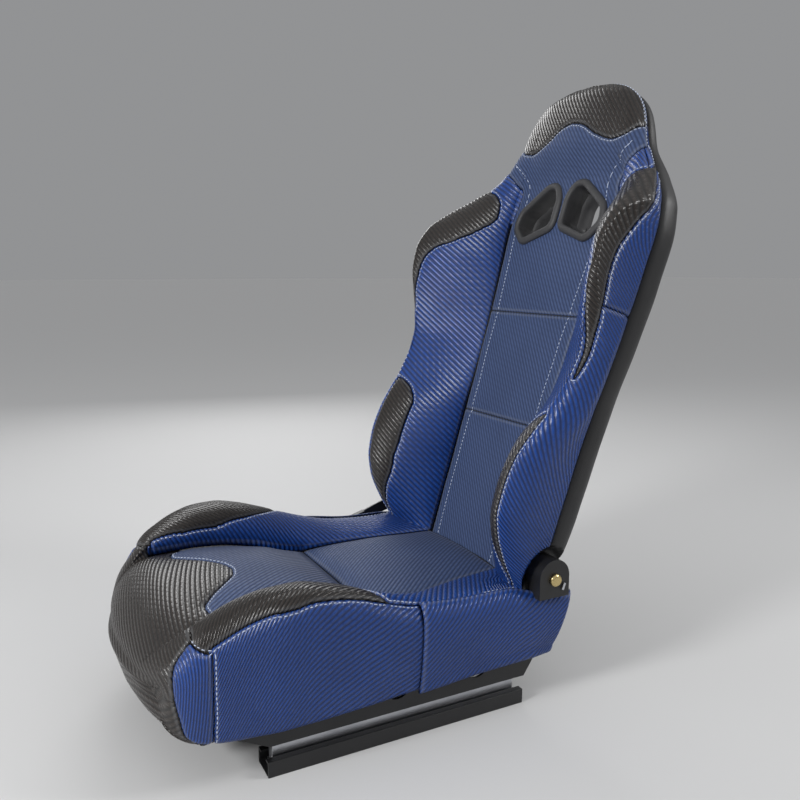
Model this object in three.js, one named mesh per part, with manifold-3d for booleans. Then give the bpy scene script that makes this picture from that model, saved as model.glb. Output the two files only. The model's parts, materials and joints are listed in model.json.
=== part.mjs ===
// Reclining sport seat on a pair of slide rails, as an assembly of separate pieces.
// Millimetres. The seat faces -Y, +Z is up and +X is the seat's left side.
// Most pieces are drawn from the rear of the seat pan (y = 0); the outer group then
// shifts the whole seat so that the middle of its footprint is the origin.

import * as THREE from 'three';
import { mergeVertices } from 'three/addons/utils/BufferGeometryUtils.js';
import Module from 'manifold-3d';

const wasm = await Module();
wasm.setup();

// ---------------------------------------------------------------- driving dimensions

const GAP = 0.3;                  // left between pieces that touch
const FOOTPRINT_SHIFT = 145;      // from the rear of the seat pan to the middle of the footprint
const SIDES = [['left', 1], ['right', -1]];

// recline hinge and backrest
const PIVOT_Y = 5;
const PIVOT_Z = 201;
const LEAN = THREE.MathUtils.degToRad(18.5);
const BACK_BOTTOM = -26;          // heights along the backrest start at the hinge
const BACK_TOP = 800;
const HEAD_START = 640;
const HEAD_CAP_START = 700;       // the headrest's outline rounds over above this height
const FOAM_REAR = -15.5;          // plane between the foam and the hollow behind it
const COVER_BOTTOM = -10;
const COVER_SHELL = 3;

// seat pan
const PAN_REAR = -22;             // rear face of the cushion foam
const PAN_FRONT = -573;
const NOSE_START = -505;          // the front rounds over ahead of this line
const NOSE_DEPTH = 70;
const NOSE_HEIGHT = 128;          // height of the foremost line of the nose
const FOAM_BASE = 120;            // underside of the cushion foam
const CREASE_Y = -240;            // sewn crease between the front insert and the rear pad
const SKIRT_WALL = 5;
const EAR_START = -73;            // behind this line the side skirt rises beside the hinge
const EAR_TOP = 172;

// steel structure
const PLATE_X = 202;              // inner face of a base side plate
const PLATE_WALL = 4;
const ARM_X = 195.5;              // inner face of a recliner arm
const RAIL_X = 190;
const RAIL_HEIGHT = 22;
const RAIL_WALL = 2.5;
const RAIL_WIDTH = 42;
const RAIL_FRONT = -425;
const RAIL_REAR = -25;
const PAN_TUBE_RADIUS = 11;
const HOOP_RADIUS = 8;
const HOOP_DEPTH = -26;
const HINGE_BOLT_RADIUS = 6;
const SLEEVE_RADIUS = 9;
const SHAFT_RADIUS = 5;
const POCKET_RADIUS = 43;         // space round the hinge that the backrest keeps clear
const SECTOR_RADIUS = 30;

// Smooth outlines, as [height along the backrest, value] stations.
const BACK = {
  halfWidth: [[-28, 222], [0, 228], [80, 235], [160, 241], [240, 254], [400, 272], [460, 281],
    [520, 278], [560, 264], [600, 236], [640, 198], [680, 168], [720, 150], [800, 126]],
  bolsterHeight: [[-26, 16], [-8, 20], [6, 70], [40, 101], [80, 117], [120, 120], [200, 105],
    [280, 80], [320, 78], [400, 102], [480, 115], [520, 104], [560, 76], [600, 42], [640, 20],
    [720, 16], [800, 2]],
  centreHalf: [[-28, 106], [200, 114], [390, 124], [480, 132], [560, 140], [640, 130]],
  rearHalf: [[-28, 214], [0, 220], [260, 230], [400, 244], [520, 252], [570, 246], [620, 212],
    [680, 160], [720, 143], [800, 120]],
  rearDepth: [[-28, -30], [100, -50], [500, -56], [640, -52], [720, -42], [800, -34]],
  headDome: [[620, 0], [680, 22], [740, 22], [800, 4]],
};

// Smooth outlines, as [y, value] stations along the seat pan.
const PAN = {
  halfWidth: [[-575, 214], [-540, 222], [-500, 228], [-400, 238], [-200, 233], [-100, 229],
    [0, 232], [37, 232]],
  bolsterHeight: [[-575, 190], [-540, 212], [-500, 229], [-460, 243], [-420, 252], [-380, 254],
    [-340, 247], [-300, 235], [-260, 220], [-220, 206], [-180, 195], [-100, 188], [0, 186]],
  centreHalf: [[-575, 140], [-540, 150], [-500, 158], [-400, 160], [-300, 150], [-200, 140],
    [-100, 120], [0, 106]],
  centreHeight: [[-575, 174], [-540, 192], [-500, 204], [-440, 208], [-380, 205], [-320, 195],
    [-275, 178], [-240, 172], [-180, 178], [-100, 184], [-20, 183]],
  skirtBottom: [[-575, 66], [-450, 62], [-300, 64], [-100, 70], [37, 76]],
};

// ---------------------------------------------------------------- materials

const paint = (color, roughness, metalness) => () => (
  new THREE.MeshStandardMaterial({ color, roughness, metalness }));
const blueVinyl = paint(0x1f4f9e, 0.35, 0);
const darkVinyl = paint(0x2a2522, 0.4, 0);
const blueFabric = paint(0x55688c, 0.85, 0);
const blackVinyl = paint(0x141416, 0.5, 0);
const greyPlastic = paint(0x3b3c40, 0.55, 0);
const blackPlastic = paint(0x0c0c0d, 0.5, 0);
const blackSteel = paint(0x1d1e20, 0.45, 0.6);
const zincSteel = paint(0x9a9da3, 0.35, 0.9);
const springSteel = paint(0x5b5d61, 0.4, 0.9);
const goldSteel = paint(0xb08a3c, 0.3, 0.9);

// ---------------------------------------------------------------- tools for shapes

// Monotone cubic curve through [position, value] stations, flat beyond the ends.
function curveThrough(stations) {
  const xs = stations.map((p) => p[0]);
  const ys = stations.map((p) => p[1]);
  const last = xs.length - 1;
  const step = xs.slice(1).map((x, i) => x - xs[i]);
  const slope = step.map((h, i) => (ys[i + 1] - ys[i]) / h);
  const tangent = xs.map((_, i) => {
    if (i === 0) return slope[0];
    if (i === last) return slope[last - 1];
    if (slope[i - 1] * slope[i] <= 0) return 0;
    const before = 2 * step[i] + step[i - 1];
    const after = step[i] + 2 * step[i - 1];
    return (before + after) / (before / slope[i - 1] + after / slope[i]);
  });
  return (x) => {
    if (x <= xs[0]) return ys[0];
    if (x >= xs[last]) return ys[last];
    const i = xs.findIndex((station) => station > x) - 1;
    const h = step[i];
    const t = (x - xs[i]) / h;
    const rise = ys[i + 1] - ys[i];
    const bend = t * t * (3 - 2 * t) * rise;
    return ys[i] + bend + h * (t * (1 - t) ** 2 * tangent[i] - t * t * (1 - t) * tangent[i + 1]);
  };
}

const curves = (group) => Object.fromEntries(
  Object.entries(group).map(([name, stations]) => [name, curveThrough(stations)]));
const back = curves(BACK);
const pan = curves(PAN);

const range = (count) => Array.from({ length: count }, (_, i) => i);
const spread = (from, to, count) => range(count).map((i) => from + ((to - from) * i) / (count - 1));
const clamp01 = (value) => Math.min(1, Math.max(0, value));

// The same triangles with their faces turned over.
const flipped = (index) => index.map((_, i) => index[i - (i % 3) + [0, 2, 1][i % 3]]);

function volumeOf(positions, index) {
  const at = (i) => new THREE.Vector3().fromArray(positions, 3 * i);
  let sum = 0;
  for (let i = 0; i < index.length; i += 3) {
    sum += at(index[i]).dot(at(index[i + 1]).cross(at(index[i + 2])));
  }
  return sum / 6;
}

// Closed body through a row of closed loops. Each section is { loop: [[a, b], ...], at },
// and place(a, b, at) gives a loop point's position.
function loft(sections, place) {
  const count = sections[0].loop.length;
  const flat = ({ loop }) => loop.map(([a, b]) => new THREE.Vector2(a, b));
  const clockwise = THREE.ShapeUtils.isClockWise(flat(sections[0]));
  const rows = sections.map(({ loop, at }) => ({ loop: clockwise ? [...loop].reverse() : loop, at }));
  const positions = rows.flatMap(({ loop, at }) => loop.flatMap(([a, b]) => place(a, b, at)));
  const index = [];
  for (let row = 0; row + 1 < rows.length; row += 1) {
    for (let k = 0; k < count; k += 1) {
      const [a, b] = [row * count + k, row * count + ((k + 1) % count)];
      index.push(a, b, b + count, a, b + count, a + count);
    }
  }
  const topStart = (rows.length - 1) * count;
  for (const [a, b, c] of THREE.ShapeUtils.triangulateShape(flat(rows[0]), [])) index.push(a, c, b);
  for (const [a, b, c] of THREE.ShapeUtils.triangulateShape(flat(rows.at(-1)), [])) {
    index.push(topStart + a, topStart + b, topStart + c);
  }
  const geometry = new THREE.BufferGeometry();
  geometry.setAttribute('position', new THREE.Float32BufferAttribute(positions, 3));
  geometry.setIndex(volumeOf(positions, index) < 0 ? flipped(index) : index);
  return geometry;
}

function toSolid(geometry) {
  const bare = geometry.clone();
  const extras = Object.keys(bare.attributes).filter((name) => name !== 'position');
  extras.forEach((name) => bare.deleteAttribute(name));
  const merged = mergeVertices(bare, 1e-4);
  return new wasm.Manifold(new wasm.Mesh({
    numProp: 3,
    vertProperties: new Float32Array(merged.getAttribute('position').array),
    triVerts: new Uint32Array(merged.getIndex().array),
  }));
}

function toGeometry(solid) {
  const { vertProperties, triVerts } = solid.getMesh();
  const geometry = new THREE.BufferGeometry();
  geometry.setAttribute('position', new THREE.BufferAttribute(vertProperties, 3));
  geometry.setIndex(new THREE.BufferAttribute(triVerts, 1));
  return geometry;
}

const joined = (...pieces) => toGeometry(
  pieces.map(toSolid).reduce((whole, piece) => whole.add(piece)));
const cut = (whole, ...tools) => toGeometry(
  tools.map(toSolid).reduce((rest, tool) => rest.subtract(tool), toSolid(whole)));

function box(x, y, z) {
  const geometry = new THREE.BoxGeometry(x[1] - x[0], y[1] - y[0], z[1] - z[0]);
  return geometry.translate((x[0] + x[1]) / 2, (y[0] + y[1]) / 2, (z[0] + z[1]) / 2);
}

// Cylinder along X between two x values, round the line at (y, z).
function barX(radius, x0, x1, y, z, segments = 16) {
  const geometry = new THREE.CylinderGeometry(radius, radius, Math.abs(x1 - x0), segments);
  return geometry.rotateZ(Math.PI / 2).translate((x0 + x1) / 2, y, z);
}

function barZ(radius, z0, z1, x, y, segments = 12) {
  const geometry = new THREE.CylinderGeometry(radius, radius, z1 - z0, segments);
  return geometry.rotateX(Math.PI / 2).translate(x, y, (z0 + z1) / 2);
}

// Lathed piece about the X axis through (y, z), from [radius, x] points.
function turned(profile, y, z, segments = 18) {
  const points = profile.map(([radius, x]) => new THREE.Vector2(radius, x));
  return new THREE.LatheGeometry(points, segments).rotateZ(-Math.PI / 2).translate(0, y, z);
}

// Outline in the (y, z) plane, made thick from x0 to x1.
function plateYZ(outline, x0, x1, holes = []) {
  const asShape = (points) => new THREE.Shape(points.map(([y, z]) => new THREE.Vector2(y, z)));
  const shape = outline instanceof THREE.Shape ? outline : asShape(outline);
  shape.holes.push(...holes);
  const settings = { depth: x1 - x0, bevelEnabled: false, curveSegments: 10 };
  const upright = new THREE.Matrix4().set(0, 0, 1, x0, 1, 0, 0, 0, 0, 1, 0, 0, 0, 0, 0, 1);
  return new THREE.ExtrudeGeometry(shape, settings).applyMatrix4(upright);
}

const roundHole = (y, z, radius) => new THREE.Path().absarc(y, z, radius, 0, 2 * Math.PI, true);

// Bar of round section along a path.
function wire(path, radius, sides, steps) {
  const section = new THREE.Shape(range(sides).map((i) => {
    const angle = (2 * Math.PI * i) / sides;
    return new THREE.Vector2(radius * Math.cos(angle), radius * Math.sin(angle));
  }));
  return new THREE.ExtrudeGeometry(section, { steps, bevelEnabled: false, extrudePath: path });
}

const throughPoints = (points) => new THREE.CatmullRomCurve3(points.map((p) => new THREE.Vector3(...p)));

// Straight runs between the points, with each corner rounded off at the given distance.
function bentPath(points, corner) {
  const path = new THREE.CurvePath();
  const at = points.map((p) => new THREE.Vector3(...p));
  let from = at[0];
  for (let i = 1; i + 1 < at.length; i += 1) {
    const enter = at[i].clone().add(at[i - 1].clone().sub(at[i]).setLength(corner));
    const leave = at[i].clone().add(at[i + 1].clone().sub(at[i]).setLength(corner));
    path.add(new THREE.LineCurve3(from, enter));
    path.add(new THREE.QuadraticBezierCurve3(enter, at[i], leave));
    from = leave;
  }
  path.add(new THREE.LineCurve3(from, at.at(-1)));
  return path;
}

// The left piece as drawn, or its mirror image for the right side.
function onSide(geometry, side) {
  if (side > 0) return geometry;
  const mirrored = geometry.clone().scale(-1, 1, 1);
  const plain = mirrored.index ? mirrored : mergeVertices(mirrored);
  plain.setIndex(flipped(Array.from(plain.getIndex().array)));
  return plain;
}

const seat = new THREE.Group();
seat.position.y = FOOTPRINT_SHIFT;
const backrest = new THREE.Group();
backrest.position.set(0, PIVOT_Y, PIVOT_Z);
backrest.rotation.x = -LEAN;
seat.add(backrest);

function add(name, geometry, material, group = seat) {
  const mesh = new THREE.Mesh(geometry, material());
  mesh.name = name;
  group.add(mesh);
}

// ---------------------------------------------------------------- slide rails

const NOTCH_PITCH = 14;
const NOTCH_COUNT = 10;
const NOTCH_START = -385;
const RAIL_BOLT_YS = [-395, -55];     // bolts through the lower rail into the floor
const FOOT_BOLT_YS = [-370, -80];     // bolts through the base frame into the upper rail

function lowerRail() {
  const [inner, outer] = [RAIL_X - RAIL_WIDTH / 2, RAIL_X + RAIL_WIDTH / 2];
  const channel = box([inner, outer], [RAIL_FRONT, RAIL_REAR], [0, RAIL_HEIGHT]);
  const run = [RAIL_FRONT - 1, RAIL_REAR + 1];
  const hollow = box([inner + RAIL_WALL, outer - RAIL_WALL], run, [RAIL_WALL, RAIL_HEIGHT - RAIL_WALL]);
  const slot = box([RAIL_X - 10, RAIL_X + 10], run, [RAIL_HEIGHT - RAIL_WALL - 1, RAIL_HEIGHT + 1]);
  const notches = range(NOTCH_COUNT).map((i) => {
    const y = NOTCH_START + i * NOTCH_PITCH;
    return box([RAIL_X - 16, RAIL_X - 9], [y - 3, y + 3], [RAIL_HEIGHT - RAIL_WALL - 1, RAIL_HEIGHT + 1]);
  });
  const boltHoles = RAIL_BOLT_YS.map((y) => barZ(4.4, -1, RAIL_WALL + 1, RAIL_X, y));
  return cut(channel, hollow, slot, ...notches, ...boltHoles);
}

function upperRail() {
  const foot = box([RAIL_X - 14, RAIL_X + 14], [-415, -35], [6, 9]);
  const web = box([RAIL_X - 8, RAIL_X + 8], [-415, -35], [8, 40]);
  const boltHoles = FOOT_BOLT_YS.map((y) => barZ(4.4, 26, 41, RAIL_X, y));
  return cut(joined(foot, web), ...boltHoles);
}

function rollerCage() {
  const strip = box([RAIL_X - 12, RAIL_X + 12], [-305, -145], [3.2, 5.2]);
  const rollers = [-290, -250, -200, -160].map((y) => barX(1.5, RAIL_X - 13, RAIL_X + 13, y, 4.2, 8));
  return joined(strip, ...rollers);
}

for (const [name, side] of SIDES) {
  add(`lower_rail_${name}`, onSide(lowerRail(), side), blackSteel);
  add(`roller_cage_${name}`, onSide(rollerCage(), side), blackPlastic);
  add(`upper_rail_${name}`, onSide(upperRail(), side), zincSteel);
}

// ---------------------------------------------------------------- base frame

const PAWL_PIVOT = [30, 158];
const PAN_TUBES = { front: [-480, 94], rear: [-5, 88] };
const SPRING_XS = [-105, -35, 35, 105];

function baseSidePlate(pivotHole) {
  const ear = 24;
  const outline = new THREE.Shape();
  outline.moveTo(-420, 40.3);
  outline.lineTo(-20, 40.3);
  outline.lineTo(PIVOT_Y + ear, 112);
  outline.lineTo(PIVOT_Y + ear, PIVOT_Z);
  outline.absarc(PIVOT_Y, PIVOT_Z, ear, 0, Math.PI, false);
  outline.lineTo(PIVOT_Y - ear, 116);
  outline.lineTo(-480, 116);
  outline.lineTo(-503, 100);
  outline.lineTo(-503, 82);
  const lightening = [-370, -235, -105].map((y) => roundHole(y, 80, 22));
  const holes = [roundHole(PIVOT_Y, PIVOT_Z, pivotHole), ...lightening];
  const plate = plateYZ(outline, PLATE_X, PLATE_X + PLATE_WALL, holes);
  const foot = box([RAIL_X - 8.5, PLATE_X + 1], [-420, -30], [40.3, 44]);
  return cut(joined(plate, foot), ...FOOT_BOLT_YS.map((y) => barZ(4.4, 39, 45, RAIL_X, y)));
}

function panSpring(x) {
  const clear = PAN_TUBE_RADIUS + 2.5;
  const [front, rear] = [PAN_TUBES.front[0] + clear, PAN_TUBES.rear[0] - clear];
  const waves = 6;
  const points = spread(front, rear, 4 * waves + 1).map((y, i) => {
    const ease = clamp01(Math.min(i, 4 * waves - i) / 3);
    return [x + 22 * Math.sin((i * Math.PI) / 2), y, 96 + 8 * ease];
  });
  return wire(throughPoints(points), 2, 4, 6 * waves);
}

for (const [name, side] of SIDES) {
  const hole = (side > 0 ? HINGE_BOLT_RADIUS : SLEEVE_RADIUS) + 0.5;
  const plate = baseSidePlate(hole);
  const pawlStud = barX(4, 188.5, PLATE_X + 1, ...PAWL_PIVOT);
  add(`base_side_plate_${name}`, onSide(side > 0 ? plate : joined(plate, pawlStud), side), blackSteel);
  for (const [place, y] of [['front', FOOT_BOLT_YS[0]], ['rear', FOOT_BOLT_YS[1]]]) {
    const head = barZ(7.5, 44.3, 50, side * RAIL_X, y, 6);
    const shank = barZ(4, 27, 45, side * RAIL_X, y);
    add(`rail_bolt_${name}_${place}`, joined(head, shank), zincSteel);
  }
}
for (const [place, [y, z]] of Object.entries(PAN_TUBES)) {
  add(`${place}_cross_tube`, barX(PAN_TUBE_RADIUS, -PLATE_X + GAP, PLATE_X - GAP, y, z, 14), blackSteel);
}
SPRING_XS.forEach((x, i) => add(`seat_spring_${i + 1}`, panSpring(x), springSteel));

// ---------------------------------------------------------------- slide lock

const LOCK_PIVOT = [-280, 56];
const LOCK_BAR_X = 148;

function lockBar() {
  const [y, z] = LOCK_PIVOT;
  const half = [[175.5, y, z], [LOCK_BAR_X, y, z], [LOCK_BAR_X, -506, 47]];
  const other = half.map(([x, py, pz]) => [-x, py, pz]).reverse();
  return wire(bentPath([...half, ...other], 14), 5, 6, 44);
}

function lockBracket() {
  const [y, z] = LOCK_PIVOT;
  const cheek = box([169, 173], [y - 12, y + 12], [36, z + 12]);
  const foot = box([172, 200], [y - 12, y + 12], [44.3, 47.3]);
  return cut(joined(cheek, foot), barX(5.7, 160, 180, y, z));
}

function slideLatch() {
  const teeth = range(3).map((i) => {
    const y = NOTCH_START + (i + 2) * NOTCH_PITCH;
    return box([175, 179.5], [y - 2, y + 2], [RAIL_HEIGHT + 0.6, 36]);
  });
  const plate = box([158, 179.5], [-364, -322], [34, 38]);
  const upright = box([LOCK_BAR_X + 5 + GAP, 159], [-364, -322], [34, 56]);
  return joined(plate, upright, ...teeth);
}

function lockSpring() {
  const [y, z] = LOCK_PIVOT;
  const turns = 3.5;
  const points = range(29).map((i) => {
    const angle = (2 * Math.PI * turns * i) / 28;
    return [162.5 + (5 * i) / 28, y + 7.4 * Math.cos(angle), z + 7.4 * Math.sin(angle)];
  });
  return wire(throughPoints(points), 0.6, 4, 28);
}

add('slide_lock_bar', lockBar(), blackSteel);
add('lock_bar_spring', lockSpring(), springSteel);
for (const [name, side] of SIDES) {
  add(`lock_bracket_${name}`, onSide(lockBracket(), side), blackSteel);
  add(`slide_latch_${name}`, onSide(slideLatch(), side), zincSteel);
}

// ---------------------------------------------------------------- seat cushion

// Rounds the nose over in height and width, and bows the front edge back at its corners.
function placePan(x, z, y) {
  const ahead = clamp01((NOSE_START - y) / NOSE_DEPTH);
  const round = (1 - ahead ** 2.4) ** (1 / 2.4);
  const bow = 34 * clamp01((-y - 330) / 245) ** 1.5 * (Math.abs(x) / 225) ** 2.4;
  const height = z > NOSE_HEIGHT ? NOSE_HEIGHT + (z - NOSE_HEIGHT) * (0.25 + 0.75 * round) : z;
  return [x * (0.8 + 0.2 * round), y + bow, height];
}

// Section of one bolster: a flat base, a hollowed inner face up to its ridge, a round-over, a side.
function bolsterLoop({ inner, foot, base, ridgeX, ridge, width, shoulder, sideFoot }) {
  const loop = [[inner, base], [inner, foot]];
  for (const i of [1, 2, 3, 4, 5]) {
    const angle = (i * Math.PI) / 10;
    const [across, up] = [Math.cos(angle) ** 1.18, Math.sin(angle) ** 1.18];
    loop.push([ridgeX - (ridgeX - inner) * across, foot + (ridge - foot) * up]);
  }
  for (const i of [1, 2, 3]) {
    const angle = (i * Math.PI) / 6;
    loop.push([ridgeX + (width - ridgeX) * Math.sin(angle), ridge - shoulder * (1 - Math.cos(angle))]);
  }
  const halfway = (ridge - shoulder + base) / 2;
  loop.push([width + (sideFoot - width) * 0.33, halfway], [sideFoot, base]);
  return loop;
}

function panBolster() {
  const ys = [PAN_FRONT, -562, -545, -525, NOSE_START, -470, -430, -380, -330, -280, -230, -180,
    -130, EAR_START - 1, EAR_START + 1, PAN_REAR];
  const sections = ys.map((y) => {
    const width = y > EAR_START ? 222 : pan.halfWidth(y);   // narrower inside the skirt's ear
    const ridge = pan.bolsterHeight(y);
    return {
      at: y,
      loop: bolsterLoop({
        inner: pan.centreHalf(y) + GAP,
        foot: pan.centreHeight(y),
        base: FOAM_BASE,
        ridgeX: width - 26,
        ridge,
        width,
        shoulder: Math.min(36, (ridge - FOAM_BASE) * 0.55),
        sideFoot: width - 4.8,
      }),
    };
  });
  return loft(sections, placePan);
}

function panPad(ys) {
  const across = [-1, -0.75, -0.4, 0, 0.4, 0.75, 1];
  const sections = ys.map((y) => {
    const half = pan.centreHalf(y) - GAP;
    const top = pan.centreHeight(y);
    const bottom = across.map((f) => [f * half, FOAM_BASE]);
    const crown = [...across].reverse().map((f) => [f * half, top - (Math.abs(f) === 1 ? 5 : 0)]);
    return { at: y, loop: [...bottom, ...crown] };
  });
  return loft(sections, placePan);
}

// Side skirt: wraps round the front corner, runs back along the pan and rises at the hinge.
// (inX, inY) points from its face into the seat.
function sideSkirt() {
  const low = FOAM_BASE - GAP;
  const corner = [[190.4, -547, 0, 1], [203, -536, 0.7, 0.7], [213, -522, 0.85, 0.5],
    [222, -503, 0.97, 0.25]].map(([x, y, inX, inY]) => ({ x, y, inX, inY, top: low }));
  const straight = [-478, -440, -380, -300, -200, -100, EAR_START + 1, EAR_START + 7, 0, 37].map((y) => {
    const set = y > EAR_START ? 1 : 4.8;
    return { x: pan.halfWidth(y) - set, y, inX: 1, inY: 0, top: y > EAR_START + 3 ? EAR_TOP : low };
  });
  const sections = [...corner, ...straight].map((station) => {
    const inset = station.y > 30 ? 30 : 0;   // the rear end slopes forward towards its foot
    const at = { ...station, inset, bottom: pan.skirtBottom(station.y) };
    return { at, loop: [[0, 0], [0, 1], [1, 1], [1, 0]] };
  });
  return loft(sections, (inward, up, { x, y, inX, inY, inset, top, bottom }) => {
    const lean = (1 - up) * 5;
    return [
      x - inX * (lean + inward * SKIRT_WALL),
      y + inY * (lean + inward * SKIRT_WALL) - (1 - up) * inset,
      bottom + up * (top - bottom),
    ];
  });
}

function frontSkirt() {
  const profile = [[-573, FOAM_BASE - GAP], [-573, 100], [-562, 80], [-545, 70], [-531, 66],
    [-525, 71], [-540, 75], [-555, 84], [-567, 102], [-567, FOAM_BASE - GAP]];
  const sections = spread(-190, 190, 9).map((x) => ({ at: x, loop: profile }));
  return loft(sections, (y, z, x) => [x, y + 34 * (Math.abs(x) / 225) ** 2.4, z]);
}

const insertYs = [PAN_FRONT, -562, -545, -525, NOSE_START, -440, -380, -320, -275, CREASE_Y - GAP];
add('cushion_front_insert', panPad(insertYs), darkVinyl);
add('cushion_rear_pad', panPad([CREASE_Y + GAP, -180, -100, PAN_REAR]), blueFabric);
add('cushion_skirt_front', frontSkirt(), darkVinyl);
for (const [name, side] of SIDES) {
  add(`cushion_bolster_${name}`, onSide(panBolster(), side), darkVinyl);
  add(`cushion_skirt_${name}`, onSide(sideSkirt(), side), blueVinyl);
}

// ---------------------------------------------------------------- recline hinge on the base

const COVER_X = [PLATE_X + PLATE_WALL + 1.7, 242];

function hingeCover(bore) {
  const outline = (half, foot) => {
    const shape = new THREE.Shape();
    shape.moveTo(PIVOT_Y - half, foot);
    shape.lineTo(PIVOT_Y + half, foot);
    shape.absarc(PIVOT_Y, 204.5, half, 0, Math.PI, false);
    return shape;
  };
  const body = plateYZ(outline(26.5, 173), ...COVER_X);
  const hollow = plateYZ(outline(24, 175.5), COVER_X[0] - 1, COVER_X[1] - 2.5);
  return cut(body, hollow, barX(bore, 230, 245, PIVOT_Y, PIVOT_Z));
}

function clockSpring() {
  const turns = 2.25;
  const edge = (offset) => range(33).map((i) => {
    const angle = -0.6 + (2 * Math.PI * turns * i) / 32;
    const radius = 12 + (14 * i) / 32 + offset;
    return [PIVOT_Y + radius * Math.cos(angle), PIVOT_Z + radius * Math.sin(angle)];
  });
  return plateYZ([...edge(-0.7), ...edge(0.7).reverse()], 189.5, 194.5);
}

const rivetedBolt = [[0, 187.5], [9, 187.5], [9, 189.2], [HINGE_BOLT_RADIUS, 189.2],
  [HINGE_BOLT_RADIUS, 242.3], [9.5, 242.3], [9.5, 246], [7, 248.5], [0, 248.5]];
const clip = box([242.3, 244.8], [-2, 2], [-5.5, 5.5]);
clip.applyMatrix4(new THREE.Matrix4().makeRotationX(-0.35).setPosition(0, 20, 189));

add('hinge_cover_left', hingeCover(HINGE_BOLT_RADIUS + 0.5), blackPlastic);
add('hinge_bolt_left', turned(rivetedBolt, PIVOT_Y, PIVOT_Z), goldSteel);
add('hinge_clip_left', clip, zincSteel);
add('recline_spring', clockSpring(), springSteel);
add('hinge_cover_right', onSide(hingeCover(SLEEVE_RADIUS + 0.5), -1), blackPlastic);
const sleeve = [[SHAFT_RADIUS + 0.6, 189.2], [SLEEVE_RADIUS, 189.2], [SLEEVE_RADIUS, 244],
  [SHAFT_RADIUS + 0.6, 244], [SHAFT_RADIUS + 0.6, 189.2]];
add('hinge_sleeve_right', onSide(turned(sleeve, PIVOT_Y, PIVOT_Z), -1), zincSteel);

// ---------------------------------------------------------------- recliner release, right side

function pawl() {
  const [y, z] = PAWL_PIVOT;
  const arm = plateYZ([[y, z - 8], [2, 160], [1, 170.2], [9, 170], [14, 166], [y, z + 8]], 189.5, 193.5);
  const hub = barX(8, 189.5, 193.5, y, z);
  const follower = barX(2.5, 184.5, 190, 10, 162, 10);
  return cut(joined(arm, hub, follower), barX(4.5, 180, 200, y, z));
}

// Snail cam: its rim moves away from the shaft over the lever's travel.
function releaseCam() {
  const rim = spread(-6, 36, 8).map((degrees) => {
    const radius = 36 + 5 * clamp01((degrees - 9) / 22);
    const angle = THREE.MathUtils.degToRad(degrees);
    return [PIVOT_Y + radius * Math.sin(angle), PIVOT_Z - radius * Math.cos(angle)];
  });
  const blade = plateYZ([[PIVOT_Y - 6, PIVOT_Z], ...rim, [PIVOT_Y + 8, PIVOT_Z]], 184.3, 188.3);
  const hub = barX(10, 184.3, 188.3, PIVOT_Y, PIVOT_Z);
  return cut(joined(blade, hub), barX(SHAFT_RADIUS + GAP, 180, 190, PIVOT_Y, PIVOT_Z));
}

const LEVER_END = [-150, 150];
const LEVER_X = [246.3, 250.3];

function lever() {
  const pivot = new THREE.Vector2(PIVOT_Y, PIVOT_Z);
  const reach = new THREE.Vector2(...LEVER_END).sub(pivot);
  const across = new THREE.Vector2(-reach.y, reach.x).normalize();
  const corner = (along, half) => (
    pivot.clone().addScaledVector(reach, along).addScaledVector(across, half).toArray());
  const arm = plateYZ([corner(0, 12), corner(1, 7), corner(1, -7), corner(0, -12)], ...LEVER_X);
  const hub = barX(15, ...LEVER_X, PIVOT_Y, PIVOT_Z);
  return cut(joined(arm, hub), barX(SHAFT_RADIUS + GAP, 240, 260, PIVOT_Y, PIVOT_Z));
}

// Moulded grip over the lever's end, 88 mm long from its mouth to its rounded tip.
function leverGrip() {
  const slope = Math.atan2(PIVOT_Z - LEVER_END[1], PIVOT_Y - LEVER_END[0]);
  const shape = new THREE.Shape();
  shape.moveTo(50, 9);
  shape.lineTo(-38, 11);
  shape.absarc(-38, 0, 11, Math.PI / 2, (3 * Math.PI) / 2, false);
  shape.lineTo(50, -9);
  const grip = plateYZ(shape, 242.8, 253.8).rotateX(slope);
  grip.translate(0, LEVER_END[0] + 30, LEVER_END[1] + 10);
  return cut(grip, lever());
}

const shaftProfile = [[0, 182], [SHAFT_RADIUS, 182], [SHAFT_RADIUS, 250.6], [9, 250.6], [9, 252.6],
  [0, 252.6]];
add('recliner_pawl', onSide(pawl(), -1), zincSteel);
add('release_cam', onSide(releaseCam(), -1), zincSteel);
add('recliner_lever_shaft', onSide(turned(shaftProfile, PIVOT_Y, PIVOT_Z), -1), zincSteel);
add('recliner_lever', onSide(lever(), -1), blackSteel);
add('recliner_lever_grip', onSide(leverGrip(), -1), blackPlastic);

// ---------------------------------------------------------------- backrest structure
// In the backrest's own frame: x across, y towards the rear and z up the back from the hinge.

function hoop() {
  const half = [[187, 115], [187, 290], [186, 470], [158, 580], [118, 665], [60, 718]];
  const other = half.map(([x, z]) => [-x, z]).reverse();
  const points = [...half, [0, 726], ...other].map(([x, z]) => [x, -HOOP_DEPTH, z]);
  return wire(throughPoints(points), HOOP_RADIUS, 8, 30);
}

function armOutline() {
  const shape = new THREE.Shape();
  shape.absarc(0, 0, 22, Math.acos(-8 / 22), 2 * Math.PI + 0.6, false);
  shape.lineTo(20, 222);
  shape.lineTo(12, 230);
  shape.lineTo(0, 230);
  shape.lineTo(-8, 222);
  return shape;
}

function reclinerArm(pivotHole) {
  return plateYZ(armOutline(), ARM_X, ARM_X + PLATE_WALL, [roundHole(0, 0, pivotHole)]);
}

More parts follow.
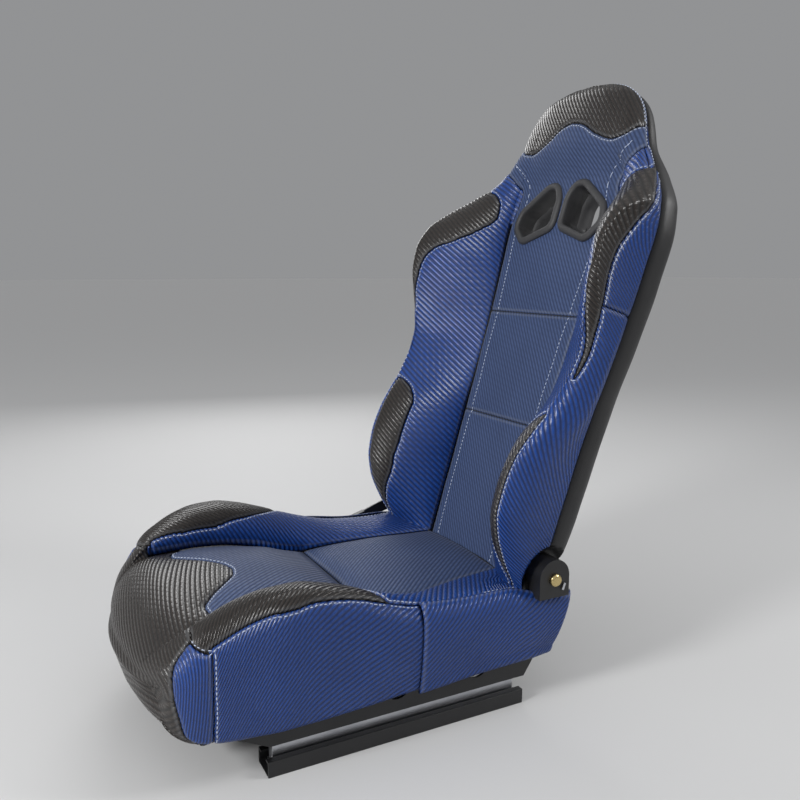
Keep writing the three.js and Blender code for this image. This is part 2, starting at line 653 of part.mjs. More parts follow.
// Toothed sector that the pawl locks into; its teeth face the floor when the seat is upright.
function sector() {
  const teeth = 18;
  const outline = [[0, 0]];
  for (const i of range(2 * teeth + 1)) {
    const angle = LEAN - Math.PI / 2 + THREE.MathUtils.degToRad(-60 + (120 * i) / (2 * teeth));
    const radius = i % 2 ? SECTOR_RADIUS : SECTOR_RADIUS - 3;
    outline.push([radius * Math.cos(angle), radius * Math.sin(angle)]);
  }
  const fan = plateYZ(outline, ARM_X - 4.6, ARM_X - GAP);
  const hub = barX(15, ARM_X - 4.6, ARM_X - GAP, 0, 0);
  return cut(joined(fan, hub), barX(SLEEVE_RADIUS + 0.5, 180, 200, 0, 0));
}

function lumbarSpring(height) {
  const waves = 5;
  const points = spread(-176, 176, 4 * waves + 1).map((x, i) => (
    [x, -HOOP_DEPTH, height + 15 * Math.sin((i * Math.PI) / 2)]));
  return wire(throughPoints(points), 1.6, 4, 6 * waves);
}

add('back_frame_hoop', hoop(), blackSteel, backrest);
for (const [place, height] of [['lower', 150], ['upper', 440]]) {
  add(`back_cross_tube_${place}`, barX(7, -178, 178, -HOOP_DEPTH, height, 12), blackSteel, backrest);
}
[215, 285, 355].forEach((height, i) => {
  add(`lumbar_spring_${i + 1}`, lumbarSpring(height), springSteel, backrest);
});
add('recliner_arm_left', reclinerArm(HINGE_BOLT_RADIUS + 0.5), blackSteel, backrest);
add('recliner_arm_right', onSide(reclinerArm(SLEEVE_RADIUS + 0.5), -1), blackSteel, backrest);
add('recliner_sector', onSide(sector(), -1), zincSteel, backrest);

// ---------------------------------------------------------------- backrest padding

// Rounds the top of the headrest over in width and thickness.
function placeBack(x, depth, height) {
  const rise = clamp01((height - HEAD_CAP_START) / (BACK_TOP - HEAD_CAP_START));
  const cap = (1 - rise ** 3.2) ** (1 / 3.2);
  const middle = -2;
  return [x * cap, -(middle + (depth - middle) * (0.35 + 0.65 * cap)), height];
}

const hingePocket = barX(POCKET_RADIUS, 177, 260, 0, 0, 20);
const armGroove = box([ARM_X - 0.8, ARM_X + PLATE_WALL + 0.8], [-9, 30], [0, 231]);

function backBolster() {
  const heights = [BACK_BOTTOM, -8, 6, 22, ...spread(40, 600, 15), HEAD_START - GAP];
  const sections = heights.map((at) => {
    const width = back.halfWidth(at);
    const ridge = back.bolsterHeight(at);
    return {
      at,
      loop: bolsterLoop({
        inner: back.centreHalf(at) + GAP,
        foot: 0,
        base: FOAM_REAR,
        ridgeX: width - 24,
        ridge,
        width,
        shoulder: Math.min(46, (ridge - FOAM_REAR) * 0.6),
        sideFoot: back.rearHalf(at),
      }),
    };
  });
  return cut(loft(sections, placeBack), hingePocket, armGroove);
}

// Harness slot outline on the left side, grown by an offset all round.
function slotOutline(offset) {
  const corners = [[17, 553], [84, 531], [108, 553], [104, 575], [45, 617], [27, 616], [17, 598]];
  const middle = [60, 575];
  const grown = corners.map(([x, z]) => {
    const away = new THREE.Vector2(x - middle[0], z - middle[1]);
    const length = away.length();
    return away.setLength(length + offset * 1.15).add(new THREE.Vector2(...middle));
  });
  const shape = new THREE.Shape();
  const corner = (i) => grown[(i + grown.length) % grown.length];
  const toward = (a, b, distance) => a.clone().add(b.clone().sub(a).setLength(distance));
  grown.forEach((point, i) => {
    const enter = toward(point, corner(i - 1), 6 + offset * 0.3);
    const leave = toward(point, corner(i + 1), 6 + offset * 0.3);
    if (i === 0) shape.moveTo(enter.x, enter.y);
    else shape.lineTo(enter.x, enter.y);
    shape.quadraticCurveTo(point.x, point.y, leave.x, leave.y);
  });
  return shape;
}

// Prism of the slot outline through the back, between two depths towards the front.
function slotPrism(offset, rearDepth, frontDepth, side, holeOffset = null) {
  const shape = slotOutline(offset);
  if (holeOffset !== null) shape.holes.push(new THREE.Path(slotOutline(holeOffset).getPoints(1)));
  const depth = frontDepth - rearDepth;
  const prism = new THREE.ExtrudeGeometry(shape, { depth, bevelEnabled: false, curveSegments: 1 });
  return onSide(prism.rotateX(Math.PI / 2).translate(0, -rearDepth, 0), side);
}

const bothSlots = (offset, rear, front) => SIDES.map(([, side]) => slotPrism(offset, rear, front, side));

function backCentrePad() {
  const sections = [BACK_BOTTOM, 100, 200, 300, 390, 480, 560, HEAD_START - GAP].map((at) => {
    const half = back.centreHalf(at) - GAP;
    return { at, loop: [[-half, FOAM_REAR], [half, FOAM_REAR], [half, 0], [-half, 0]] };
  });
  return cut(loft(sections, placeBack), ...bothSlots(3, -20, 20));
}

function headrestPad() {
  const heights = [HEAD_START, 665, HEAD_CAP_START, 730, 755, 775, 788, 796, 799];
  const sections = heights.map((at) => {
    const width = back.halfWidth(at);
    const ridge = back.bolsterHeight(at);
    const dome = back.headDome(at);
    const thick = ridge - FOAM_REAR;
    const flank = [[back.rearHalf(at), FOAM_REAR], [width, FOAM_REAR + 0.4 * thick],
      [width - 9, FOAM_REAR + 0.8 * thick]];
    const front = [0.8, 0.45, 0].map((f) => [f * (width - 24), ridge + dome * (1 - f * f) ** 0.7]);
    const right = [...flank, ...front];
    const left = right.slice(0, -1).map(([x, depth]) => [-x, depth]).reverse();
    return { at, loop: [...right, ...left] };
  });
  return loft(sections, placeBack);
}

// Thin moulded shell over the rear of the back, solid where it closes over the top.
function backRearCover() {
  const heights = [COVER_BOTTOM, 50, 120, 260, 400, 520, 570, 610, 650, 690, 730, 764, 768, 785, 796, 799];
  const sweep = spread(0, Math.PI, 11);
  const sections = heights.map((at) => {
    const half = back.rearHalf(at);
    const depth = back.rearDepth(at);
    const front = FOAM_REAR - GAP;
    const outline = (inset, scale) => sweep.map((angle) => {
      const [c, s] = [Math.cos(angle), Math.sin(angle)];
      const across = Math.sign(c) * Math.abs(c) ** 0.77;
      return [(half - inset) * across, front + scale * (depth + inset - front) * s ** 0.77];
    });
    const hollow = at < 766 ? 1 : 0.08;
    return { at, loop: [...outline(0, 1), ...outline(COVER_SHELL, hollow).reverse()] };
  });
  const pockets = SIDES.map(([, side]) => onSide(hingePocket, side));
  return cut(loft(sections, placeBack), ...pockets, ...bothSlots(3, -80, 20));
}

add('back_centre_pad', backCentrePad(), blueFabric, backrest);
add('headrest_pad', headrestPad(), darkVinyl, backrest);
add('back_rear_cover', backRearCover(), blackVinyl, backrest);
for (const [name, side] of SIDES) {
  add(`back_bolster_${name}`, onSide(backBolster(), side), blueVinyl, backrest);
  const frontBezel = joined(slotPrism(14, GAP, 4.5, side, 0), slotPrism(2.4, -28, GAP + 0.1, side, 0));
  const rearBezel = joined(slotPrism(12, -61, -57, side, 0), slotPrism(2.4, -57.1, -28.4, side, 0));
  add(`harness_bezel_front_${name}`, frontBezel, greyPlastic, backrest);
  add(`harness_bezel_rear_${name}`, rearBezel, greyPlastic, backrest);
}

export default seat;
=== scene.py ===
"""Reclining sport seat: covers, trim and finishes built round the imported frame.

Shapes are worked out in millimetres and turned into metres when a mesh is made. The backrest is
drawn in its own coordinates: x across, s up the back from the recline hinge, n towards the sitter.
The cushion is drawn in x, y and z, with y counted from the rear edge of the seat pan.
"""
import json
import math

import bpy
import numpy as np
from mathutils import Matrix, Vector, noise
from mathutils.bvhtree import BVHTree
from mathutils.kdtree import KDTree


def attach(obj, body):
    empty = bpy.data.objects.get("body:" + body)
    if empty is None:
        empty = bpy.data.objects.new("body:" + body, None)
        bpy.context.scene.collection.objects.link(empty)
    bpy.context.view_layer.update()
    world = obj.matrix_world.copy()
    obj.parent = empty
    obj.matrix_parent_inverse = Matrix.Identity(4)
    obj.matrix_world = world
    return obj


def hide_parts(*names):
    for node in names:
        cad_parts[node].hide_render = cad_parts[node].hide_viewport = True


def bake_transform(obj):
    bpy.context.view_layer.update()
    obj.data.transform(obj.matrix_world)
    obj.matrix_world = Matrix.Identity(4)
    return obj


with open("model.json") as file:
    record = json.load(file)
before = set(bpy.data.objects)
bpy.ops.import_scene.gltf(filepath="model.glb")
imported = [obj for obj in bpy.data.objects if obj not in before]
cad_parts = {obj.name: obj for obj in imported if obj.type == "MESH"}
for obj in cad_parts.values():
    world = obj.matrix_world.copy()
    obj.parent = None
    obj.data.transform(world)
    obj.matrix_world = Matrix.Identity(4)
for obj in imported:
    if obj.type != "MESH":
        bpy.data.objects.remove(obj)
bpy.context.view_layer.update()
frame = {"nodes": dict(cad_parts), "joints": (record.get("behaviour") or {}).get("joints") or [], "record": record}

HALF_PI = math.pi / 2
LEAN = math.radians(18.5)
RECLINE = next(joint for joint in frame["joints"] if joint["name"] == "recline")
PIVOT = np.array(RECLINE["pos_m"]) * 1000
PAN_REAR_Y = PIVOT[1] - 5.0
SIDES = (("left", 1), ("right", -1))


# ------------------------------------------------------------------ curves and small helpers

def curve(*stations):
    """Smooth curve through (position, value) stations that never overshoots, flat beyond its ends."""
    at, value = np.array(stations, float).T
    step = np.diff(at)
    slope = np.diff(value) / step
    inner = np.zeros(len(at) - 2)
    same = slope[:-1] * slope[1:] > 0
    before = (2 * step[1:] + step[:-1])[same]
    after = (step[1:] + 2 * step[:-1])[same]
    inner[same] = (before + after) / (before / slope[:-1][same] + after / slope[1:][same])
    tangent = np.r_[slope[0], inner, slope[-1]]

    def evaluate(x):
        x = np.clip(x, at[0], at[-1])
        i = np.clip(np.searchsorted(at, x, side="right") - 1, 0, len(step) - 1)
        t = (x - at[i]) / step[i]
        bend = tangent[i] * t * (1 - t) ** 2 - tangent[i + 1] * t * t * (1 - t)
        return value[i] * (1 + 2 * t) * (1 - t) ** 2 + value[i + 1] * t * t * (3 - 2 * t) + step[i] * bend

    return evaluate


def smoothstep(x):
    x = np.clip(x, 0, 1)
    return x * x * (3 - 2 * x)


def power(value, exponent):
    return np.maximum(value, 0) ** exponent


def back_point(x, s, n):
    """Row-frame position of a point of the backrest."""
    x, s, n = np.broadcast_arrays(x, s, n)
    y = PIVOT[1] + s * math.sin(LEAN) - n * math.cos(LEAN)
    z = PIVOT[2] + s * math.cos(LEAN) + n * math.sin(LEAN)
    return np.stack([x, y, z], -1)


# ------------------------------------------------------------------ camera, light and floor

def make_camera():
    azimuth, elevation = math.radians(62.47), math.radians(9.24)
    data = bpy.data.cameras.new("camera")
    data.lens, data.sensor_width = 35.88, 36.0
    camera = bpy.data.objects.new("camera", data)
    back = Vector((
        math.sin(azimuth) * math.cos(elevation),
        -math.cos(azimuth) * math.cos(elevation),
        math.sin(elevation),
    ))
    camera.location = (1.1194, (PAN_REAR_Y - 707.5) / 1000, 0.6473)
    camera.rotation_mode = "QUATERNION"
    camera.rotation_quaternion = (-back).to_track_quat("-Z", "Y")
    bpy.context.scene.collection.objects.link(camera)
    bpy.context.scene.camera = camera


def make_light(name, location, aim, size, watts):
    data = bpy.data.lights.new(name, "AREA")
    data.shape, data.size, data.energy = "DISK", size, watts
    light = bpy.data.objects.new(name, data)
    light.location = location
    light.rotation_mode = "QUATERNION"
    light.rotation_quaternion = (Vector(aim) - Vector(location)).to_track_quat("-Z", "Y")
    bpy.context.scene.collection.objects.link(light)


def make_fill():
    """Very soft light from above that keeps the floor as pale as the world behind it."""
    data = bpy.data.lights.new("fill", "SUN")
    data.energy, data.angle = 0.66, math.radians(120)
    fill = bpy.data.objects.new("fill", data)
    fill.rotation_mode = "XYZ"
    fill.rotation_euler = (math.radians(20), math.radians(10), 0)
    bpy.context.scene.collection.objects.link(fill)


def make_floor():
    size = 60.0
    mesh = bpy.data.meshes.new("floor")
    corners = [(-size, -size, 0), (size, -size, 0), (size, size, 0), (-size, size, 0)]
    mesh.from_pydata(corners, [], [(0, 1, 2, 3)])
    floor = bpy.data.objects.new("floor", mesh)
    bpy.context.scene.collection.objects.link(floor)
    material = bpy.data.materials.new("floor")
    material.use_nodes = True
    shader = material.node_tree.nodes["Principled BSDF"]
    shader.inputs["Base Color"].default_value = (0.60, 0.60, 0.60, 1)
    shader.inputs["Roughness"].default_value = 0.7
    mesh.materials.append(material)


def make_studio():
    world = bpy.data.worlds.new("studio")
    world.use_nodes = True
    world.node_tree.nodes["Background"].inputs["Color"].default_value = (0.82, 0.83, 0.85, 1)
    world.node_tree.nodes["Background"].inputs["Strength"].default_value = 0.35
    bpy.context.scene.world = world
    bpy.context.scene.view_settings.view_transform = "Standard"
    make_light("key", (0.6, -2.4, 1.5), (0, 0, 0.45), 0.7, 52)
    make_light("rim", (1.3, 1.9, 1.9), (0, 0.1, 0.6), 0.8, 26)
    make_light("side", (-2.3, 0.5, 1.5), (0, 0, 0.5), 1.4, 18)
    make_fill()
    make_floor()


make_camera()
make_studio()


# ------------------------------------------------------------------ materials

class Nodes:
    """A material's node tree with short calls for what the finishes need."""

    def __init__(self, name):
        self.material = bpy.data.materials.new(name)
        self.material.use_nodes = True
        self.tree = self.material.node_tree
        self.shader = self.tree.nodes["Principled BSDF"]

    def put(self, socket, value):
        if isinstance(value, bpy.types.NodeSocket):
            self.tree.links.new(value, socket)
        elif isinstance(value, (tuple, list)):
            socket.default_value = (*value, 1) if len(value) == 3 and socket.type == "RGBA" else value
        else:
            socket.default_value = value

    def math(self, operation, *values):
        node = self.tree.nodes.new("ShaderNodeMath")
        node.operation = operation
        for socket, value in zip(node.inputs, values):
            self.put(socket, value)
        return node.outputs[0]

    def mix(self, share, first, second):
        node = self.tree.nodes.new("ShaderNodeMix")
        node.data_type = "RGBA"
        self.put(node.inputs["Factor"], share)
        self.put(node.inputs["A"], first)
        self.put(node.inputs["B"], second)
        return node.outputs["Result"]

    def attribute(self, name):
        node = self.tree.nodes.new("ShaderNodeAttribute")
        node.attribute_name = name
        return node

    def noise(self, scale, detail=3.0):
        coordinates = self.tree.nodes.new("ShaderNodeTexCoord")
        node = self.tree.nodes.new("ShaderNodeTexNoise")
        self.tree.links.new(coordinates.outputs["Object"], node.inputs["Vector"])
        node.inputs["Scale"].default_value = scale
        node.inputs["Detail"].default_value = detail
        return node.outputs["Fac"]

    def ramp(self, value, low, high):
        """0 at low, 1 at high, smooth between."""
        node = self.tree.nodes.new("ShaderNodeMapRange")
        node.interpolation_type = "SMOOTHSTEP"
        self.put(node.inputs["Value"], value)
        node.inputs["From Min"].default_value = low
        node.inputs["From Max"].default_value = high
        return node.outputs["Result"]

    def bump(self, height, distance):
        node = self.tree.nodes.new("ShaderNodeBump")
        node.inputs["Distance"].default_value = distance
        self.put(node.inputs["Height"], height)
        self.put(self.shader.inputs["Normal"], node.outputs["Normal"])

    def finish(self, color, roughness, **settings):
        self.put(self.shader.inputs["Base Color"], color)
        self.put(self.shader.inputs["Roughness"], roughness)
        for name, value in settings.items():
            self.put(self.shader.inputs[name.replace("_", " ")], value)
        return self.material


def ribbed_cover(name, ridge, groove_shade, gloss, relief, **settings):
    """Woven-look cover: slanting ribs broken into short floats, with painted shade in the rib grooves and a
    painted shade line along each seam.
    """
    m = Nodes(name)
    weave = m.tree.nodes.new("ShaderNodeSeparateXYZ")
    m.put(weave.inputs[0], m.attribute("weave").outputs["Vector"])
    across, along = weave.outputs["X"], weave.outputs["Y"]
    wave = m.math("COSINE", m.math("MULTIPLY", across, 2 * math.pi))
    rib = m.math("MULTIPLY_ADD", wave, 0.5, 0.5)
    stagger = m.math("MULTIPLY", m.math("FLOOR", m.math("ADD", across, 0.5)), 0.5)
    float_wave = m.math("SINE", m.math("MULTIPLY", m.math("ADD", along, stagger), math.pi))
    notch = m.math("POWER", m.math("ABSOLUTE", float_wave), 6.0)
    height = m.math("MULTIPLY", m.math("POWER", rib, 0.7), m.math("MULTIPLY_ADD", notch, -0.28, 1.0))
    grain = m.noise(900.0)
    patchy = m.noise(14.0)
    m.bump(m.math("ADD", height, m.math("MULTIPLY", grain, 0.10)), relief)
    # Painted shade: the grooves between ribs take the darker colour, the crests the lighter one.
    color = m.mix(height, groove_shade, ridge)
    # Random patches of a slightly darker tone, in the groove colour.
    color = m.mix(m.math("MULTIPLY", m.ramp(patchy, 0.35, 0.75), 0.22), color, groove_shade)
    seam = m.attribute("seam").outputs["Fac"]
    worn = m.math("MULTIPLY", m.math("SUBTRACT", m.ramp(seam, 1.5, 3.0), m.ramp(seam, 3.5, 8.0)), 0.10)
    color = m.mix(worn, color, (0.45, 0.47, 0.5))
    # Painted shade: a near-black line along each seam, where its groove lies in shade.
    color = m.mix(m.ramp(seam, 0.2, 1.1), (0.004, 0.004, 0.005), color)
    smoother = m.math("MULTIPLY_ADD", height, -0.16, gloss + 0.16)
    rough = m.math("ADD", smoother, m.math("MULTIPLY", patchy, 0.08))
    return m.finish(color, rough, **settings)


def plain_finish(name, color, shade, roughness, scale, relief, **settings):
    """Moulded, painted or plated surface with a fine grain and slight unevenness."""
    m = Nodes(name)
    grain = m.noise(scale, 5.0)
    uneven = m.noise(18.0)
    m.bump(grain, relief)
    mixed = m.mix(m.math("MULTIPLY", m.ramp(uneven, 0.3, 0.7), 0.5), color, shade)
    rough = m.math("MULTIPLY_ADD", m.math("ADD", grain, uneven), 0.12, roughness - 0.12)
    return m.finish(mixed, rough, **settings)


# Each ribbed cover: the rib crest colour, then the darker painted-shade colour of its rib grooves.
BLUE_VINYL = ribbed_cover(
    "blue_vinyl", (0.012, 0.062, 0.29), (0.003, 0.015, 0.080), 0.22, 0.0012)
DARK_VINYL = ribbed_cover(
    "dark_vinyl", (0.027, 0.021, 0.018), (0.006, 0.005, 0.0045), 0.22, 0.0012)
FABRIC = ribbed_cover(
    "centre_fabric", (0.045, 0.078, 0.185), (0.012, 0.026, 0.075), 0.58, 0.0007,
    Sheen_Weight=0.06, Sheen_Roughness=0.4)
BLACK_VINYL = plain_finish(
    "black_vinyl", (0.016, 0.016, 0.017), (0.009, 0.009, 0.010), 0.48, 600.0, 0.0004)
FELT = plain_finish("felt", (0.030, 0.030, 0.032), (0.018, 0.018, 0.019), 0.95, 1400.0, 0.0006)
THREAD = plain_finish("thread", (0.50, 0.56, 0.70), (0.40, 0.46, 0.60), 0.5, 2500.0, 0.0002)
GREY_PLASTIC = plain_finish(
    "grey_plastic", (0.038, 0.038, 0.040), (0.028, 0.028, 0.030), 0.55, 1800.0, 0.00015)
FINISHES = {
    "grey_plastic": GREY_PLASTIC,
    "black_plastic": plain_finish(
        "black_plastic", (0.010, 0.010, 0.011), (0.006, 0.006, 0.007), 0.42, 1800.0, 0.0001),
    "black_steel": plain_finish(
        "black_steel", (0.011, 0.011, 0.012), (0.006, 0.006, 0.007), 0.36, 900.0, 0.00012),
    "zinc_steel": plain_finish(
        "zinc_steel", (0.56, 0.57, 0.60), (0.42, 0.43, 0.46), 0.32, 700.0, 0.00005, Metallic=1.0),
    "spring_steel": plain_finish(
        "spring_steel", (0.24, 0.24, 0.25), (0.15, 0.15, 0.16), 0.38, 700.0, 0.00005, Metallic=1.0),
    "gold_steel": plain_finish(
        "gold_steel", (0.58, 0.46, 0.22), (0.46, 0.36, 0.17), 0.28, 700.0, 0.00004, Metallic=1.0),
}


# ------------------------------------------------------------------ backrest surface

BACK_BOTTOM, BACK_TOP, CAP_START = -44.0, 787.0, 692.0
CLOSING_ROWS = 5                        # rows that draw an open end together
BACK_STEPS = (32, 46, 18, 24, 52)       # columns in each stretch of the half section
BACK_WEAVE_ROW = 60                     # row from which lengths up the back are counted
CENTRE_SEAMS = (206.0, 394.0)           # heights of the two seams across the centre panel
RIDGE_INSET = 24.0                      # from the bolster's ridge out to its widest line
half_width = curve(
    (-28, 222), (0, 228), (80, 235), (160, 241), (240, 254), (320, 264), (400, 272), (460, 281),
    (520, 278), (560, 264), (600, 236), (640, 198), (680, 168), (720, 150), (760, 138), (800, 126))
ridge_height = curve(
    (-28, 40), (0, 70), (40, 101), (80, 117), (120, 120), (160, 116), (200, 105), (240, 89),
    (280, 80), (320, 78), (360, 88), (400, 102), (440, 112), (480, 115), (520, 104), (560, 76),
    (600, 42), (640, 20), (680, 14), (760, 10), (800, -6))
centre_half = curve(
    (-28, 106), (200, 114), (390, 124), (480, 132), (560, 140), (600, 140), (640, 130),
    (680, 110), (720, 95), (760, 80), (800, 60))
centre_height = curve((-28, 0), (560, 0), (640, 4), (700, 12), (760, 12), (800, -6))
head_dome = curve((630, 0), (690, 16), (745, 18), (800, 2))
rear_half = curve(
    (-28, 218), (0, 224), (260, 236), (400, 252), (520, 258), (570, 250), (620, 214), (680, 161),
    (720, 144), (760, 132), (800, 120))
cover_seam_height = curve((-28, 10), (560, 14), (620, 4), (660, -6), (800, -14))
rear_depth = curve((-28, -34), (100, -52), (500, -58), (640, -54), (720, -45), (800, -36))
top_lean = curve((700, 0), (750, 6), (775, 15), (795, 24))
bolster_fullness = curve(
    (-28, 1.45), (180, 1.42), (260, 1.12), (330, 1.02), (420, 1.1), (500, 1.25), (600, 1.4), (800, 1.5))


def back_section(q, s):
    """x and n of the backrest's outline. q runs 0-1 over the centre panel, 1-2 up the bolster,
    2-3 over its ridge, 3-4 down its side and 4-5 round the rear."""
    width, ridge, rear = half_width(s), ridge_height(s), rear_half(s)
    inner, level, seam = centre_half(s), centre_height(s), cover_seam_height(s)
    ridge_x = width - RIDGE_INSET
    shoulder = np.minimum(46, np.maximum(ridge - seam, 4) * 0.6)
    climb, over, round_rear = (np.clip(q - k, 0, 1) * HALF_PI for k in (1, 2, 4))
    down = np.clip(q - 3, 0, 1)
    lift, bend = 2 / bolster_fullness(s), 2 / 3.8
    xs = [
        inner * np.clip(q, 0, 1),
        ridge_x - (ridge_x - inner) * power(np.cos(climb), lift),
        ridge_x + RIDGE_INSET * np.sin(over),
        width + (rear - width) * down ** 1.6,
        rear * power(np.cos(round_rear), bend),
    ]
    ns = [
        level + 0 * q,
        level + (ridge - level) * power(np.sin(climb), lift),
        ridge - shoulder * (1 - np.cos(over)),
        (ridge - shoulder) + (seam - ridge + shoulder) * down,
        seam + (rear_depth(s) - seam) * power(np.sin(round_rear), bend),
    ]
    stretch = [q < 1, q < 2, q < 3, q < 4]
    x = np.select(stretch, xs[:4], xs[4])
    n = np.select(stretch, ns[:4], ns[4])
    n = n + np.where(q < 4, head_dome(s) * power(1 - (x / width) ** 2, 0.8), 0)
    cap = power(1 - power((s - CAP_START) / (BACK_TOP - CAP_START), 3.2), 1 / 3.2)
    middle = (seam + level) / 2
    return x * cap, middle + (n - middle) * (0.35 + 0.65 * cap) + top_lean(s)


def ring_of(counts):
    """Signed section parameters round a closed section, with the given number of steps per unit."""
    half = np.concatenate([np.linspace(k, k + 1, count, endpoint=False) for k, count in enumerate(counts)])
    return np.concatenate([half, [len(counts)], -half[:0:-1]])


def mirror_columns(ring):
    """For each place in a section ring, the column of the same place on the left half."""
    return np.array([int(np.argmin(np.abs(ring - abs(place)))) for place in ring])


def lengths_along(points, axis, origin):
    """Length along the grid's rows (axis 1) or columns (axis 0), counted from the index origin."""
    steps = np.linalg.norm(np.diff(points, axis=axis), axis=-1)
    total = np.insert(np.cumsum(steps, axis=axis), 0, 0, axis=axis)
    return total - np.take(total, [origin], axis=axis)


def grid_normals(points):
    """Outward normals of a closed-section grid."""
    around = np.roll(points, -1, 1) - np.roll(points, 1, 1)
    along = np.gradient(points, axis=0)
    normal = np.cross(around, along)
    normal /= np.maximum(np.linalg.norm(normal, axis=-1, keepdims=True), 1e-9)
    middle = points.mean(1, keepdims=True)
    outward = ((points - middle) * normal).sum() > 0
    return normal if outward else -normal


def grid_triangles(rows, columns):
    """Triangles of a grid whose columns close on themselves."""
    i, j = np.meshgrid(np.arange(rows - 1), np.arange(columns), indexing="ij")
    a, b = i * columns + j, i * columns + (j + 1) % columns
    c, d = b + columns, a + columns
    first = np.stack([a, b, c], -1)
    second = np.stack([a, c, d], -1)
    return np.concatenate([first.reshape(-1, 3), second.reshape(-1, 3)])


# ------------------------------------------------------------------ cutting a surface into panels

SNAP = 0.5


class Skin:
    """A triangulated surface with named values at its points, which seam lines cut into panels."""

    def __init__(self, points, normals, values):
        rows, columns = points.shape[:2]
        self.names = list(values)
        flat = [points.reshape(-1, 3), normals.reshape(-1, 3)]
        flat += [np.asarray(values[name], float).reshape(-1, 1) for name in self.names]
        self.table = np.concatenate(flat, axis=1)
        self.triangles = grid_triangles(rows, columns)
        corners = self.points[self.triangles]
        facing = np.cross(corners[:, 1] - corners[:, 0], corners[:, 2] - corners[:, 0])
        if (facing * self.normals[self.triangles[:, 0]]).sum() < 0:
            self.triangles = self.triangles[:, [0, 2, 1]]

    @property
    def points(self):
        return self.table[:, :3]

    @property
    def normals(self):
        return self.table[:, 3:6]

    def value(self, name):
        return self.table[:, 6 + self.names.index(name)]

    def at_triangles(self, name):
        return self.value(name)[self.triangles].mean(1)

    def cut(self, name):
        """Puts an edge wherever the named value crosses zero. Values close to zero count as zero."""
        column = 6 + self.names.index(name)
        self.table[np.abs(self.table[:, column]) < SNAP, column] = 0
        sign = np.sign(self.table[:, column])
        corner_signs = sign[self.triangles]
        crossing = (corner_signs.max(1) > 0) & (corner_signs.min(1) < 0)
        kept = [self.triangles[~crossing]]
        extra, made = [], {}
        count = len(self.table)

        def between(a, b):
            key = (min(a, b), max(a, b))
            if key not in made:
                share = self.table[a, column] / (self.table[a, column] - self.table[b, column])
                row = self.table[a] + share * (self.table[b] - self.table[a])
                row[column] = 0
                made[key] = count + len(extra)
                extra.append(row)
            return made[key]

        pieces = []
        for triangle in self.triangles[crossing]:
            signs = sign[triangle]
            if (signs == 0).any():
                k = int(np.argmax(signs == 0))
                zero, a, b = triangle[k], triangle[(k + 1) % 3], triangle[(k + 2) % 3]
                middle = between(a, b)
                pieces += [(zero, a, middle), (zero, middle, b)]
            else:
                k = int(np.argmax(signs == -np.sign(signs.sum())))
                lone, a, b = triangle[k], triangle[(k + 1) % 3], triangle[(k + 2) % 3]
                first, second = between(lone, a), between(lone, b)
                pieces += [(lone, first, second), (first, a, b), (first, b, second)]
        if extra:
            self.table = np.concatenate([self.table, np.array(extra)])
            kept.append(np.array(pieces, int))
        self.triangles = np.concatenate(kept)


def seam_chains(skin, label):
    """Polylines of point indices along which two labels meet, as {(label, label): [chain, ...]}."""
    edges = {}
    for index, triangle in enumerate(skin.triangles):
        for k in range(3):
            a, b = int(triangle[k]), int(triangle[(k + 1) % 3])
            edges.setdefault((min(a, b), max(a, b)), []).append(label[index])
    links = {}
    for (a, b), owners in edges.items():
        if len(owners) == 2 and owners[0] != owners[1]:
            pair = tuple(sorted(owners))
            links.setdefault(pair, {}).setdefault(a, []).append(b)
            links[pair].setdefault(b, []).append(a)
    chains = {}
    for pair, near in links.items():
        unused = {frozenset((a, b)) for a, others in near.items() for b in others}
        starts = [a for a, others in near.items() if len(others) != 2] + list(near)
        for start in starts:
            for first in near[start]:
                if frozenset((start, first)) not in unused:
                    continue
                chain = [start, first]
                unused.discard(frozenset((start, first)))
                while len(near[chain[-1]]) == 2:
                    options = [b for b in near[chain[-1]] if frozenset((chain[-1], b)) in unused]
                    if not options:
                        break
                    unused.discard(frozenset((chain[-1], options[0])))
                    chain.append(options[0])
                chains.setdefault(pair, []).append(chain)
    return chains


def distance_to(points, chains):
    """Each point's distance to the nearest of the chains, which are arrays of positions."""
    starts = np.concatenate([chain[:-1] for chain in chains])
    ends = np.concatenate([chain[1:] for chain in chains])
    middles = (starts + ends) / 2
    tree = KDTree(len(middles))
    for index, middle in enumerate(middles):
        tree.insert(middle, index)
    tree.balance()
    nearest = np.array([[found[1] for found in tree.find_n(point, 2)] for point in points])
    best = np.full(len(points), 1e9)
    for column in nearest.T:
        a, run = starts[column], ends[column] - starts[column]
        share = ((points - a) * run).sum(1) / np.maximum((run * run).sum(1), 1e-9)
        foot = a + np.clip(share, 0, 1)[:, None] * run
        best = np.minimum(best, np.linalg.norm(points - foot, axis=1))
    return best


# ------------------------------------------------------------------ meshes

def add_object(name, points_mm, faces, material):
    mesh = bpy.data.meshes.new(name)
    mesh.from_pydata((np.asarray(points_mm, float) / 1000).tolist(), [], [list(map(int, f)) for f in faces])
    for one in material if isinstance(material, (list, tuple)) else [material]:
        mesh.materials.append(one)
    mesh.update()
    mesh.polygons.foreach_set("use_smooth", [True] * len(mesh.polygons))
    piece = bpy.data.objects.new(name, mesh)
    bpy.context.scene.collection.objects.link(piece)
    return piece


def add_values(piece, name, kind, values):
    attribute = piece.data.attributes.new(name, kind, "POINT")
    field = "vector" if kind == "FLOAT_VECTOR" else "value"
    attribute.data.foreach_set(field, np.ravel(values).astype(np.float32))


def thicken(piece, thickness):
    """Gives a cover its thickness in metres, inwards."""
    shell = piece.modifiers.new("cover_thickness", "SOLIDIFY")
    shell.thickness = thickness
    shell.offset = -1


